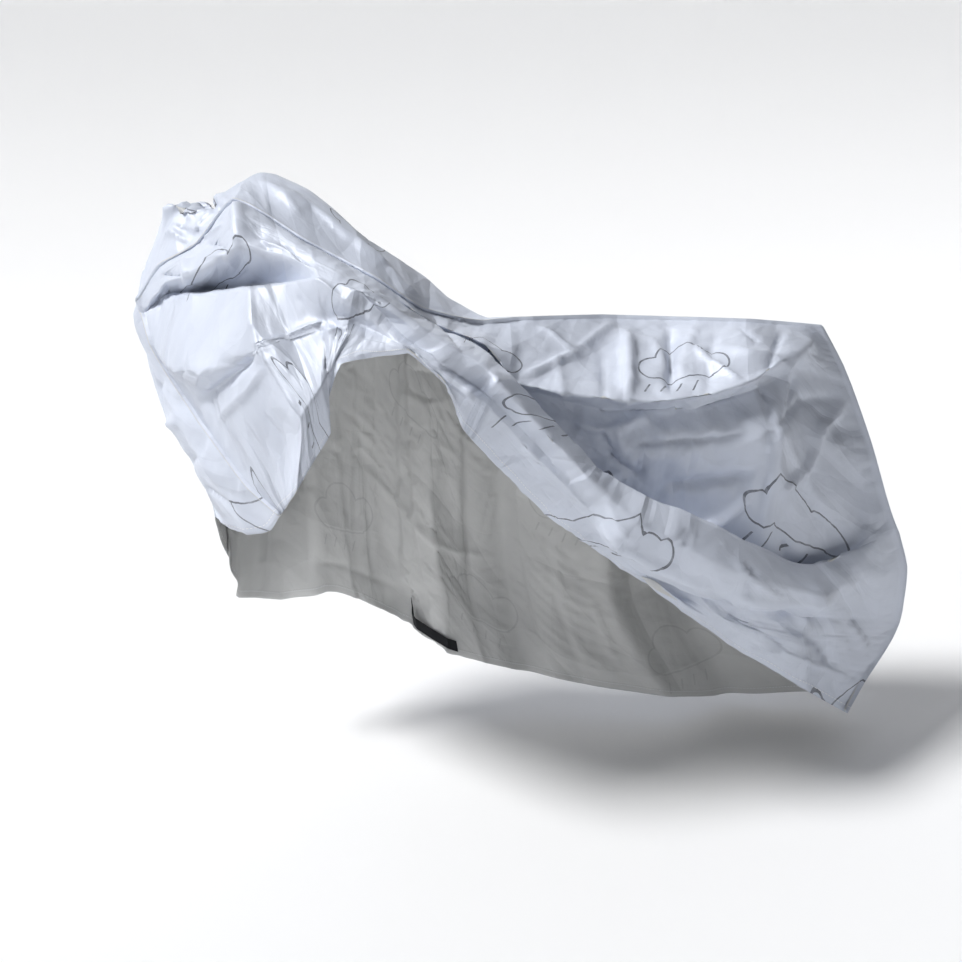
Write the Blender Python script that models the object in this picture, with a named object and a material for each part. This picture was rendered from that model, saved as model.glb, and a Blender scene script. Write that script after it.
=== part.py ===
"""Bicycle cover: a bag of coated film draped over a cycle, which isn't built.

The tables measure places on the covered cycle, in metres: "along" runs back from the front
hub, "across" is minus on the near side and plus on the far side, and "up" is above the ground.
"at" counts stations along the cover, from 0 at its nose to 19 at its tail. The part's origin
is SEAT, the spot under the top where the saddle carries the cover.
"""

import bpy
import numpy as np

# Driving sizes, metres
SEAT = np.array((0.85, -0.12, 0.95))
FILM = 0.002
HEM_FILM = 0.003
SEAM_FIN = 0.007
SEAM_GAP = 0.0003
FADE_START, DIP_START, TAIL_START, TAIL = 5.5, 9, 17.5, 19
FRONT_END = 1.5
FRONT_BELLY = 0.012
BEND_CRISPNESS = 0.6
NARROWEST = 0.016
STRAP_WIDTH = 0.025
STRAP_FILM = 0.0015
STRAP_GAP = 0.0005
STRAP_ABOVE_HEM = 0.008

# Film colours: red, green, blue, as light
SILVER = (0.62, 0.66, 0.74)
SILVER_SHADE = (0.60, 0.64, 0.71)
WEBBING_BLACK = (0.012, 0.013, 0.020)

# Folds of the near panel, from the top seam down to the hem. One row for each bend of a fold:
# (at, along, across, up)
SEAM = (
    (0, -0.105, 0.110, 1.035),
    (1, -0.055, 0.090, 1.100),
    (2, 0.030, 0.015, 1.150),
    (3, 0.105, -0.055, 1.230),
    (5, 0.230, -0.150, 1.155),
    (7, 0.345, -0.200, 1.090),
    (9, 0.430, -0.220, 1.030),
    (11, 0.555, -0.120, 0.985),
    (12, 0.635, -0.070, 0.980),
    (14, 0.805, -0.050, 0.972),
    (17, 1.120, -0.050, 0.946),
    (19, 1.268, -0.060, 0.927),
)
FLAP = (
    (9, 0.440, -0.240, 1.020),
    (11, 0.545, -0.190, 0.976),
    (12, 0.615, -0.190, 0.940),
    (14, 0.780, -0.190, 0.915),
    (17, 1.075, -0.180, 0.912),
    (18, 1.175, -0.130, 0.919),
    (19, 1.290, -0.060, 0.890),
)
LIP = (
    (9, 0.442, -0.260, 1.015),
    (11, 0.530, -0.290, 0.975),
    (12, 0.590, -0.305, 0.904),
    (14, 0.747, -0.320, 0.868),
    (15, 0.841, -0.320, 0.856),
    (16, 0.940, -0.310, 0.859),
    (17, 1.043, -0.275, 0.873),
    (18, 1.148, -0.185, 0.897),
    (19, 1.316, -0.060, 0.844),
)
TUCK = (
    (9, 0.442, -0.255, 1.010),
    (11, 0.540, -0.250, 0.962),
    (12, 0.600, -0.250, 0.886),
    (14, 0.760, -0.260, 0.835),
    (16, 0.954, -0.260, 0.838),
    (17, 1.061, -0.240, 0.852),
    (18, 1.159, -0.170, 0.868),
    (19, 1.335, -0.060, 0.803),
)
PANEL = (
    (9, 0.442, -0.265, 1.005),
    (11, 0.545, -0.255, 0.953),
    (12, 0.610, -0.255, 0.863),
    (13, 0.700, -0.262, 0.807),
    (14, 0.790, -0.282, 0.765),
    (15, 0.868, -0.272, 0.769),
    (16, 0.962, -0.262, 0.768),
    (17, 1.082, -0.268, 0.773),
    (18, 1.189, -0.190, 0.757),
    (19, 1.380, -0.070, 0.683),
)
VALLEY = (
    (9, 0.440, -0.275, 1.005),
    (11, 0.535, -0.285, 0.940),
    (12, 0.605, -0.275, 0.845),
    (13, 0.690, -0.270, 0.755),
    (14, 0.775, -0.265, 0.680),
    (15, 0.860, -0.265, 0.612),
    (16, 0.958, -0.265, 0.565),
    (17, 1.070, -0.262, 0.510),
    (18, 1.232, -0.195, 0.445),
    (19, 1.437, -0.080, 0.508),
)
BAND_TOP = (
    (9, 0.436, -0.285, 1.020),
    (11, 0.518, -0.335, 0.975),
    (12, 0.577, -0.355, 0.915),
    (13, 0.647, -0.370, 0.835),
    (14, 0.717, -0.395, 0.761),
    (15, 0.796, -0.405, 0.705),
    (16, 0.894, -0.385, 0.652),
    (17, 1.010, -0.345, 0.580),
    (18, 1.194, -0.240, 0.483),
    (19, 1.454, -0.080, 0.470),
)
BAND_CREST = (
    (0, -0.099, 0.103, 1.015),
    (1, -0.039, 0.014, 1.077),
    (2, 0.044, -0.097, 1.119),
    (3, 0.122, -0.192, 1.160),
    (5, 0.239, -0.290, 1.124),
    (7, 0.330, -0.360, 1.077),
    (9, 0.409, -0.395, 1.024),
    (11, 0.511, -0.405, 0.954),
    (12, 0.551, -0.405, 0.909),
    (13, 0.620, -0.412, 0.829),
    (14, 0.691, -0.425, 0.749),
    (15, 0.772, -0.434, 0.668),
    (16, 0.874, -0.420, 0.602),
    (17, 0.994, -0.386, 0.528),
    (18, 1.182, -0.284, 0.437),
    (19, 1.477, -0.080, 0.392),
)
BAND_LOW = (
    (0, -0.097, 0.101, 1.009),
    (1, -0.038, 0.071, 1.050),
    (2, 0.045, -0.015, 1.060),
    (3, 0.123, -0.110, 1.075),
    (4, 0.187, -0.205, 1.090),
    (5, 0.243, -0.310, 1.108),
    (7, 0.315, -0.350, 1.084),
    (9, 0.381, -0.385, 1.008),
    (10, 0.438, -0.400, 0.964),
    (11, 0.493, -0.385, 0.922),
    (12, 0.534, -0.380, 0.886),
    (14, 0.671, -0.402, 0.730),
    (15, 0.748, -0.407, 0.621),
    (16, 0.864, -0.391, 0.538),
    (17, 0.995, -0.353, 0.464),
    (18, 1.187, -0.256, 0.384),
    (19, 1.472, -0.080, 0.290),
)
STRIP_TOP = (
    (0, -0.094, 0.089, 1.003),
    (1, -0.024, 0.006, 1.050),
    (2, 0.050, -0.100, 1.068),
    (3, 0.125, -0.226, 1.089),
    (4, 0.183, -0.269, 1.098),
    (5, 0.241, -0.328, 1.111),
    (6, 0.273, -0.344, 1.084),
    (7, 0.306, -0.358, 1.057),
    (9, 0.373, -0.400, 1.002),
    (11, 0.484, -0.410, 0.915),
    (12, 0.523, -0.390, 0.876),
    (14, 0.664, -0.392, 0.712),
    (15, 0.745, -0.392, 0.604),
    (17, 0.999, -0.345, 0.443),
    (18, 1.189, -0.250, 0.364),
    (19, 1.467, -0.080, 0.264),
)
BROW = (
    (0, -0.080, 0.039, 0.958),
    (1, -0.036, -0.073, 0.921),
    (2, 0.037, -0.176, 0.945),
    (3, 0.132, -0.289, 0.994),
    (4, 0.185, -0.308, 1.016),
    (5, 0.241, -0.329, 1.040),
    (6, 0.267, -0.340, 1.047),
    (7, 0.299, -0.354, 1.036),
    (9, 0.375, -0.405, 1.000),
    (11, 0.482, -0.410, 0.905),
    (12, 0.519, -0.385, 0.866),
    (14, 0.658, -0.385, 0.701),
    (15, 0.747, -0.364, 0.590),
    (17, 1.002, -0.330, 0.424),
    (18, 1.190, -0.235, 0.330),
    (19, 1.450, -0.090, 0.238),
)
STRIP_MID = (
    (0, 0.004, -0.048, 0.819),
    (1, 0.045, -0.145, 0.884),
    (2, 0.096, -0.246, 0.941),
    (3, 0.137, -0.305, 0.991),
    (4, 0.190, -0.317, 1.007),
    (5, 0.241, -0.339, 1.023),
    (6, 0.266, -0.359, 1.019),
    (7, 0.292, -0.366, 1.019),
    (9, 0.377, -0.405, 0.996),
    (11, 0.481, -0.405, 0.897),
    (12, 0.515, -0.380, 0.857),
    (14, 0.651, -0.374, 0.689),
    (15, 0.743, -0.353, 0.585),
    (16, 0.879, -0.307, 0.479),
    (17, 0.998, -0.328, 0.409),
    (18, 1.180, -0.240, 0.306),
    (19, 1.427, -0.100, 0.210),
)
TURN = (
    (0, 0.093, -0.154, 0.704),
    (1, 0.132, -0.243, 0.753),
    (2, 0.166, -0.314, 0.812),
    (3, 0.196, -0.412, 0.890),
    (4, 0.214, -0.414, 0.918),
    (5, 0.233, -0.404, 0.942),
    (6, 0.251, -0.381, 0.961),
    (7, 0.265, -0.372, 0.978),
    (8, 0.326, -0.395, 0.991),
    (9, 0.380, -0.405, 0.993),
    (10, 0.439, -0.410, 0.939),
    (11, 0.474, -0.400, 0.871),
    (12, 0.506, -0.369, 0.834),
    (14, 0.638, -0.359, 0.673),
    (15, 0.741, -0.336, 0.575),
    (17, 1.000, -0.303, 0.376),
    (18, 1.167, -0.238, 0.259),
    (19, 1.370, -0.128, 0.156),
)
HEM = (
    (0, 0.148, -0.227, 0.668),
    (1, 0.157, -0.250, 0.686),
    (2, 0.166, -0.281, 0.708),
    (3, 0.181, -0.332, 0.742),
    (4, 0.214, -0.358, 0.801),
    (5, 0.245, -0.358, 0.849),
    (6, 0.245, -0.373, 0.908),
    (7, 0.270, -0.385, 0.972),
    (8, 0.326, -0.385, 0.981),
    (9, 0.383, -0.395, 0.984),
    (10, 0.445, -0.400, 0.926),
    (11, 0.471, -0.390, 0.848),
    (12, 0.495, -0.360, 0.815),
    (14, 0.629, -0.341, 0.661),
    (15, 0.741, -0.320, 0.565),
    (17, 1.002, -0.275, 0.347),
    (18, 1.159, -0.220, 0.221),
    (19, 1.317, -0.160, 0.101),
)

# Folds of the far panel, from the top seam over the bars and down to the hem.
CREST = (
    (0, -0.080, 0.080, 0.955),
    (0.5, -0.120, 0.130, 1.000),
    (1, -0.095, 0.190, 1.080),
    (1.5, -0.020, 0.170, 1.215),
    (2, 0.020, 0.150, 1.225),
    (2.5, 0.075, 0.110, 1.230),
    (3, 0.115, 0.070, 1.245),
    (4, 0.160, 0.030, 1.260),
    (5, 0.235, 0.000, 1.228),
    (7, 0.345, -0.030, 1.140),
    (9, 0.455, -0.050, 1.065),
    (10, 0.495, -0.060, 1.025),
    (11, 0.575, -0.030, 0.980),
    (12, 0.650, -0.010, 0.972),
    (14, 0.830, 0.005, 0.960),
    (17, 1.145, 0.005, 0.932),
    (18, 1.225, -0.010, 0.920),
    (19, 1.316, -0.060, 0.844),
)
SHOULDER = (
    (0, -0.040, 0.022, 0.880),
    (0.5, -0.087, 0.110, 0.886),
    (1, -0.108, 0.190, 0.925),
    (1.5, -0.060, 0.240, 1.060),
    (2, -0.020, 0.280, 1.060),
    (3, 0.080, 0.270, 1.030),
    (4, 0.160, 0.200, 1.030),
    (5, 0.240, 0.150, 1.000),
    (7, 0.360, 0.120, 0.930),
    (10, 0.520, 0.100, 0.860),
    (13, 0.740, 0.080, 0.870),
    (16, 1.030, 0.070, 0.850),
    (18, 1.260, 0.050, 0.840),
    (19, 1.380, -0.070, 0.683),
)
SIDE = (
    (0, 0.025, -0.065, 0.795),
    (0.5, -0.033, 0.020, 0.778),
    (1, -0.085, 0.160, 0.810),
    (1.5, -0.053, 0.250, 0.834),
    (2, -0.010, 0.260, 0.800),
    (3, 0.070, 0.250, 0.780),
    (5, 0.220, 0.170, 0.740),
    (7, 0.350, 0.150, 0.660),
    (10, 0.520, 0.150, 0.580),
    (13, 0.770, 0.140, 0.580),
    (16, 1.070, 0.120, 0.570),
    (18, 1.340, 0.070, 0.580),
    (19, 1.454, -0.080, 0.470),
)
LOW = (
    (0, 0.093, -0.154, 0.704),
    (0.5, 0.037, -0.050, 0.666),
    (1, -0.023, 0.120, 0.663),
    (1.5, -0.014, 0.220, 0.606),
    (2, 0.008, 0.250, 0.592),
    (3, 0.060, 0.210, 0.550),
    (5, 0.220, 0.180, 0.500),
    (7, 0.350, 0.180, 0.420),
    (10, 0.540, 0.180, 0.320),
    (13, 0.800, 0.150, 0.280),
    (16, 1.100, 0.120, 0.270),
    (18, 1.390, 0.070, 0.300),
    (19, 1.472, -0.080, 0.290),
)
FAR_HEM = (
    (0, 0.148, -0.227, 0.668),
    (0.3, 0.119, -0.120, 0.600),
    (0.6, 0.079, -0.050, 0.579),
    (1, 0.038, 0.040, 0.567),
    (1.4, 0.003, 0.110, 0.572),
    (2, -0.003, 0.140, 0.466),
    (2.5, 0.010, 0.130, 0.420),
    (3, 0.045, 0.150, 0.370),
    (4, 0.125, 0.170, 0.350),
    (5, 0.225, 0.170, 0.370),
    (7, 0.355, 0.160, 0.300),
    (9, 0.490, 0.140, 0.200),
    (11, 0.660, 0.120, 0.140),
    (13, 0.865, 0.090, 0.090),
    (15, 1.110, 0.070, 0.050),
    (17, 1.345, 0.050, 0.055),
    (18, 1.390, 0.010, 0.075),
    (19, 1.307, -0.180, 0.112),
)

# (fold, crispness, grid steps down to the next fold)
NEAR_FOLDS = (
    (SEAM, 0.0, 2),
    (FLAP, 0.1, 2),
    (LIP, 0.8, 2),
    (TUCK, 0.5, 2),
    (PANEL, 0.1, 2),
    (VALLEY, 0.3, 2),
    (BAND_TOP, 0.6, 3),
    (BAND_CREST, 0.0, 3),
    (BAND_LOW, 0.7, 2),
    (STRIP_TOP, 0.6, 2),
    (BROW, 0.5, 2),
    (STRIP_MID, 0.9, 3),
    (TURN, 0.5, 3),
    (HEM, 0.0, 0),
)
FAR_FOLDS = (
    (SEAM, 0.0, 3),
    (CREST, 0.2, 3),
    (SHOULDER, 0.2, 3),
    (SIDE, 0.0, 3),
    (LOW, 0.0, 3),
    (FAR_HEM, 0.0, 0),
)

# Creases pressed or pulled into the cloth. "down" counts folds from the seam, "tall" is plus
# where the cloth stands out and minus where it sinks in:
# (from at, from down, to at, to down, wide, tall)
NEAR_CREASES = (
    (3.0, 1.4, 2.9, 7.3, 0.018, 0.014),
    (3.3, 4.5, 3.7, 7.0, 0.018, -0.008),
    (1.6, 3.5, 1.5, 7.6, 0.016, 0.010),
    (2.9, 10.9, 0.1, 10.9, 0.010, -0.014),
    (4.8, 9.8, 6.7, 11.0, 0.016, -0.010),
    (14.5, 0.3, 14.4, 1.9, 0.014, 0.018),
    (15.4, 0.2, 15.3, 1.9, 0.012, -0.020),
    (14.3, 0.1, 13.4, 0.8, 0.012, 0.008),
    (13.4, 0.8, 12.1, 1.8, 0.014, 0.010),
    (16.6, 1.0, 17.6, 1.5, 0.022, 0.013),
    (18.6, 0.7, 17.5, 3.7, 0.018, 0.014),
    (18.8, 3.4, 18.1, 4.2, 0.012, 0.012),
    (18.1, 4.2, 17.1, 4.4, 0.012, 0.012),
    (16.8, 4.3, 15.0, 4.5, 0.014, -0.022),
    (16.7, 4.4, 15.8, 5.0, 0.018, 0.020),
    (12.8, 4.0, 15.0, 3.2, 0.014, 0.012),
    (14.6, 4.0, 17.4, 4.0, 0.060, 0.024),
    (14.4, 8.2, 16.8, 8.0, 0.018, 0.012),
    (16.8, 8.0, 18.4, 7.3, 0.020, 0.012),
    (15.5, 12.2, 17.0, 9.3, 0.016, -0.012),
    (16.9, 9.4, 18.8, 8.8, 0.016, -0.014),
    (17.5, 8.2, 18.5, 12.0, 0.018, -0.012),
    (18.3, 8.0, 18.8, 11.3, 0.016, 0.010),
)
FAR_CREASES = (
    (1.3, 0.8, 2.2, 0.4, 0.021, 0.027),
    (1.3, 1.1, 2.3, 0.8, 0.016, -0.024),
    (2.2, 0.6, 2.7, 1.5, 0.018, -0.031),
    (1.7, 1.1, 1.4, 2.3, 0.025, 0.034),
    (4.0, 0.7, 8.0, 0.4, 0.023, 0.017),
    (3.0, 1.1, 10.5, 1.5, 0.046, 0.034),
    (2.3, 1.5, 2.5, 5.0, 0.052, -0.041),
    (3.6, 1.7, 3.3, 5.0, 0.046, 0.041),
    (5.2, 1.9, 4.8, 5.0, 0.046, -0.044),
    (7.0, 1.6, 7.3, 5.0, 0.057, 0.037),
    (9.2, 1.8, 8.9, 5.0, 0.052, -0.041),
    (11.6, 1.2, 11.2, 5.0, 0.057, 0.048),
    (13.6, 1.9, 13.9, 5.0, 0.052, -0.034),
    (16.0, 1.3, 15.3, 5.0, 0.057, 0.037),
    (17.7, 1.2, 17.4, 5.0, 0.052, -0.027),
)

# The strap lies along the inside of the far hem, and its front end is turned up:
# (at, off the cloth, higher)
STRAP = (
    (7.76, 0.026, 0.030),
    (7.82, 0.020, 0.012),
    (7.9, 0.008, 0.002),
    (8.05, 0.000, 0.000),
    (8.5, 0.000, 0.000),
    (9.0, 0.000, 0.000),
    (9.3, 0.000, 0.000),
)

# Stations of the columns of corner points: close together where the cloth turns at the nose
COLUMNS = np.concatenate(((0, 0.4, 0.65, 0.9, 1.15, 1.4, 1.7), np.arange(2, 19.1, 0.5)))
# How far down from the seam to the band's crest each rear fold lies where it starts
GATHER = (0.10, 0.14, 0.18, 0.22, 0.27, 0.34)
LENGTH_STEPS = 8


def unit(vectors):
    return vectors / np.maximum(np.linalg.norm(vectors, axis=-1, keepdims=True), 1e-9)


def blend(start, end, share):
    return start + (end - start) * share


def eased(share):
    share = np.clip(share, 0, 1)
    return share * share * (3 - 2 * share)


def hermite(start, end, leave, arrive, share):
    """A curve from start to end, with its direction at each end."""
    early = share * (1 - share) ** 2
    late = share * share * (1 - share)
    return blend(start, end, share * share * (3 - 2 * share)) + leave * early - arrive * late


def along_fold(fold, stations):
    """Places on one fold at the given stations, on a curve that doesn't swing past its bends."""
    bends = np.array(fold)
    at, places = bends[:, 0], bends[:, 1:]
    gap = np.diff(at)[:, None]
    slope = np.diff(places, axis=0) / gap
    before, after = slope[:-1], slope[1:]
    steady = before * after > 0
    weight_before = 2 * gap[1:] + gap[:-1]
    weight_after = gap[1:] + 2 * gap[:-1]
    turn = weight_before / np.where(steady, before, 1) + weight_after / np.where(steady, after, 1)
    middle = np.where(steady, 3 * (gap[1:] + gap[:-1]) / np.where(steady, turn, 1), 0)
    smooth = np.vstack((slope[:1], middle, slope[-1:]))
    span = np.clip(np.searchsorted(at, stations, "right") - 1, 0, len(at) - 2)
    share = ((np.clip(stations, at[0], at[-1]) - at[span]) / gap[span, 0])[:, None]
    leave = blend(smooth[span], slope[span], BEND_CRISPNESS) * gap[span]
    arrive = blend(smooth[span + 1], slope[span], BEND_CRISPNESS) * gap[span]
    return hermite(places[span], places[span + 1], leave, arrive, share)


def down_folds(rows, crisp, steps):
    """Rows of cloth from the first fold to the last. A crisp fold has a sharp edge."""
    chord = np.diff(rows, axis=0)
    length = np.linalg.norm(chord, axis=-1, keepdims=True) + 1e-6
    way = chord / length
    grid = []
    for k in range(len(chord)):
        pulls = []
        for fold in (k, k + 1):
            smooth = way[k]
            if 0 < fold < len(chord):
                total = length[fold - 1] + length[fold]
                smooth = (way[fold - 1] * length[fold] + way[fold] * length[fold - 1]) / total
            pulls.append(blend(smooth, way[k], crisp[fold]) * length[k])
        for step in range(steps[k]):
            grid.append(hermite(rows[k], rows[k + 1], *pulls, step / steps[k]))
    grid.append(rows[-1])
    return np.array(grid)


def creased(grid, creases, folds, side):
    """The grid with its creases, each of which dies out short of a seam but not of the hem."""
    downs = [k + step / fold[2] for k, fold in enumerate(folds) for step in range(fold[2])]
    downs = np.array(downs + [len(folds) - 1.0])
    outward = unit(np.cross(np.gradient(grid, axis=0), np.gradient(grid, axis=1))) * side
    lift = np.zeros(grid.shape[:2])
    share = np.linspace(0, 1, 13)
    for from_at, from_down, to_at, to_down, wide, tall in creases:
        ats, depths = blend(from_at, to_at, share), blend(from_down, to_down, share)
        column = np.interp(ats, COLUMNS, np.arange(len(COLUMNS)))
        row = np.interp(depths, downs, np.arange(len(downs)))
        i = np.minimum(row.astype(int), len(downs) - 2)
        j = np.minimum(column.astype(int), len(COLUMNS) - 2)
        right, below = (column - j)[:, None], (row - i)[:, None]
        over = blend(grid[i, j], grid[i, j + 1], right)
        under = blend(grid[i + 1, j], grid[i + 1, j + 1], right)
        spots = blend(over, under, below)
        strength = eased(5 * share) * (1 if to_down >= downs[-1] else eased(5 * (1 - share)))
        best = np.zeros(grid.shape[:2])
        for k in range(len(share) - 1):
            run = spots[k + 1] - spots[k]
            along = np.clip(((grid - spots[k]) @ run) / max(run @ run, 1e-9), 0, 1)
            away = np.linalg.norm(grid - spots[k] - along[..., None] * run, axis=-1)
            same_layer = (np.abs(downs[:, None] - depths[k]) < 1.2) & (
                np.abs(COLUMNS - ats[k]) < 1.5
            )
            here = blend(strength[k], strength[k + 1], along)
            shape = here * same_layer / (1 + (away / max(wide, NARROWEST)) ** 2) ** 1.5
            best = np.maximum(best, shape)
        lift += tall * best
    lift *= eased(COLUMNS)
    return grid + outward * lift[..., None]


def length_shares(lines):
    """How far along its own length each point of each column lies, from 0 to 1."""
    step = np.linalg.norm(np.diff(lines, axis=0), axis=-1)
    reached = np.vstack((np.zeros_like(step[:1]), np.cumsum(step, axis=0)))
    return reached / reached[-1]


def near_grid():
    """The near panel. Ahead of the dip its rear folds fade out over the plain front."""
    rows = np.array([along_fold(fold, COLUMNS) for fold, _, _ in NEAR_FOLDS])
    seam, crest = rows[0], rows[len(GATHER) + 1]
    ahead = COLUMNS < DIP_START
    start = np.flatnonzero(~ahead)[0]
    folded = eased((COLUMNS - FADE_START) / (DIP_START - FADE_START))[:, None]
    for k, share in enumerate(GATHER, 1):
        even = k / (len(GATHER) + 1)
        offset = rows[k, start] - blend(seam[start], crest[start], share)
        plain = blend(seam, crest, blend(even, share, folded)) + offset * folded
        belly = 4 * even * (1 - even) * eased(COLUMNS / 3)[:, None] * (1 - folded)
        plain[:, 2] += FRONT_BELLY * belly[:, 0]
        rows[k, ahead] = plain[ahead]
    _, crisp, steps = zip(*NEAR_FOLDS)
    return creased(down_folds(rows, crisp, steps), NEAR_CREASES, NEAR_FOLDS, 1)


def far_grid(near):
    """The far panel, whose rows meet every other row of the near panel at nose and tail."""
    rows = np.array([along_fold(fold, COLUMNS) for fold, _, _ in FAR_FOLDS])
    _, crisp, steps = zip(*FAR_FOLDS)
    fine = down_folds(rows, crisp, [n * LENGTH_STEPS for n in steps])
    own = length_shares(fine)
    near_shares = length_shares(near[::2, [0, -1]])
    front = 1 - eased(COLUMNS / FRONT_END)
    tail = eased((COLUMNS - TAIL_START) / (TAIL - TAIL_START))
    wanted = blend(own[::LENGTH_STEPS], near_shares[:, :1], front)
    wanted = blend(wanted, near_shares[:, 1:], tail)
    grid = np.empty((len(wanted), len(COLUMNS), 3))
    for j in range(len(COLUMNS)):
        for axis in range(3):
            grid[:, j, axis] = np.interp(wanted[:, j], own[:, j], fine[:, j, axis])
    grid = creased(grid, FAR_CREASES, FAR_FOLDS, -1)
    grid[:, [0, -1]] = near[::2, [0, -1]]
    grid[0] = near[0]
    return grid


def edge_line(grid):
    """The seamed edges as one line: up the front, back along the top and down the tail."""
    return np.concatenate((grid[:0:-1, 0], grid[0], grid[1:, -1]))


def inward_line(grid):
    """The way in which the cloth leaves the seam, at each point of the edge line."""
    front = grid[:0:-1, 1] - grid[:0:-1, 0]
    top = grid[1] - grid[0]
    tail = grid[1:, -2] - grid[1:, -1]
    return unit(np.concatenate((front, top, tail)))


def eased_line(line):
    for _ in range(4):
        line[1:-1] = (line[:-2] + 2 * line[1:-1] + line[2:]) / 4
    return unit(line)


def seam_frame(near, far):
    """At each point of the seam, the way out along its welded fin and the way across it."""
    near_in, far_in = inward_line(near), inward_line(far)
    line = edge_line(near)
    along = unit(np.gradient(line, axis=0))
    faces_out = np.cross(near_in, along) - np.cross(far_in, along)
    out = eased_line(unit(faces_out) - near_in - far_in)
    out = unit(out - along * (out * along).sum(axis=-1, keepdims=True))
    return out, eased_line(np.cross(out, along))


def with_midpoints(line, side_steps):
    """The seam line with a point added halfway along each step of its front and tail."""
    middle = (line[:-1] + line[1:]) / 2
    front, tail = range(side_steps), range(len(line) - 1 - side_steps, len(line) - 1)
    places = []
    for k, point in enumerate(line):
        places.append(point)
        if k in front or k in tail:
            places.append(middle[k])
    return np.array(places)


def set_edge(grid, line):
    rows, columns = grid.shape[:2]
    grid[:0:-1, 0] = line[: rows - 1]
    grid[0] = line[rows - 1 : rows - 1 + columns]
    grid[1:, -1] = line[rows - 1 + columns :]


def film_body(name, points, faces, thickness, finish, fixed=()):
    """A closed sheet of the given thickness, half of it to each side of the faces."""
    points, faces = np.array(points), np.array(faces)
    corner = points[faces]
    facing = np.cross(corner[:, 1] - corner[:, 0], corner[:, 2] - corner[:, 0])
    outward = np.zeros_like(points)
    for k in range(3):
        np.add.at(outward, faces[:, k], facing)
    outward = unit(outward)
    for vertex, way in fixed:
        outward[vertex] = way
    half = outward * np.reshape(np.broadcast_to(thickness, len(points)), (-1, 1)) / 2
    edges = {(a, b) for face in faces.tolist() for a, b in zip(face, face[1:] + face[:1])}
    rim = sorted((a, b) for a, b in edges if (b, a) not in edges)
    count = len(points)
    shell = faces.tolist() + [[c + count, b + count, a + count] for a, b, c in faces.tolist()]
    shell += [[b, a, a + count] for a, b in rim] + [[b, a + count, b + count] for a, b in rim]
    mesh = bpy.data.meshes.new(name)
    mesh.from_pydata(np.vstack((points + half, points - half)).tolist(), [], shell)
    mesh.materials.append(finish)
    body = bpy.data.objects.new(name, mesh)
    bpy.context.scene.collection.objects.link(body)
    return body


def split_quads(points, quads):
    """Two triangles from each four-cornered cell, cut across its shorter diagonal."""
    a, b, c, d = np.moveaxis(points[quads], 1, 0)
    first = np.linalg.norm(a - c, axis=-1) <= np.linalg.norm(b - d, axis=-1)
    cut_ac = np.concatenate((quads[first][:, [0, 1, 2]], quads[first][:, [0, 2, 3]]))
    cut_bd = np.concatenate((quads[~first][:, [1, 2, 3]], quads[~first][:, [1, 3, 0]]))
    return np.concatenate((cut_ac, cut_bd))


def panel(name, grid, fin, across, side, finish):
    """A panel of film with the fin that is welded to the other panel's."""
    rows, columns = grid.shape[:2]
    number = np.arange(rows * columns).reshape(rows, columns)
    cells = np.stack((number[:-1, :-1], number[1:, :-1], number[1:, 1:], number[:-1, 1:]), -1)
    base = edge_line(number)
    tip = rows * columns + np.arange(len(base))
    welded = np.stack((tip[:-1], base[:-1], base[1:], tip[1:]), -1)
    points = np.concatenate((grid.reshape(-1, 3), fin)) - SEAT
    faces = split_quads(points, np.concatenate((cells.reshape(-1, 4), welded)))
    if side > 0:
        faces = faces[:, ::-1]
    thickness = np.full(len(points), FILM)
    thickness[number[-1]] = HEM_FILM
    thickness[[base[0], base[-1]]] = FILM
    return film_body(name, points, faces, thickness, finish, list(zip(tip, across * side)))


def wind_strap(far, finish):
    """A short length of woven tape inside the far hem."""
    at, off, higher = np.array(STRAP).T
    hem, above = [
        np.stack([np.interp(at, COLUMNS, row[:, axis]) for axis in range(3)], -1)
        for row in (far[-1], far[-2])
    ]
    drop = np.linalg.norm(above - hem, axis=-1)
    inward = unit(np.cross(above - hem, np.gradient(hem, axis=0)))
    edges = []
    for rise in (STRAP_ABOVE_HEM, STRAP_ABOVE_HEM + STRAP_WIDTH):
        share = (rise / drop)[:, None]
        clear = blend(HEM_FILM, FILM, share) / 2 + STRAP_GAP + STRAP_FILM / 2
        place = blend(hem, above, share) + inward * (clear + off[:, None])
        place[:, 2] += higher
        edges.append(place)
    points = np.concatenate(edges) - SEAT
    k = np.arange(len(at) - 1)
    cells = np.stack((k, k + len(at), k + len(at) + 1, k + 1), -1)
    return film_body("wind_strap", points, split_quads(points, cells), STRAP_FILM, finish)


def film(name, colour, roughness):
    material = bpy.data.materials.new(name)
    material.use_nodes = True
    shader = material.node_tree.nodes["Principled BSDF"]
    shader.inputs["Base Color"].default_value = (*colour, 1.0)
    shader.inputs["Roughness"].default_value = roughness
    return material


for thing in list(bpy.data.objects):
    bpy.data.objects.remove(thing, do_unlink=True)

near = near_grid()
far = far_grid(near)
side_steps = len(far) - 1
out, across = seam_frame(near[::2], far)
line = edge_line(far)
aside = across * (FILM + SEAM_GAP) / 2

near_edge = line - aside
far_edge = line + aside
set_edge(near, with_midpoints(near_edge, side_steps))
set_edge(far, far_edge)
near_fin = with_midpoints(near_edge + out * SEAM_FIN, side_steps)
near_across = with_midpoints(across, side_steps)
panel("near_panel", near, near_fin, near_across, -1, film("coated_film_near", SILVER, 0.42))
panel("far_panel", far, far_edge + out * SEAM_FIN, across, 1,
      film("coated_film_far", SILVER_SHADE, 0.42))
wind_strap(far, film("woven_tape", WEBBING_BLACK, 0.80))
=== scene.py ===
"""A bicycle cover of silver-coated film, hanging as it does over a cycle."""

import math

import bpy
import numpy as np
from mathutils import Matrix, Vector


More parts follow.
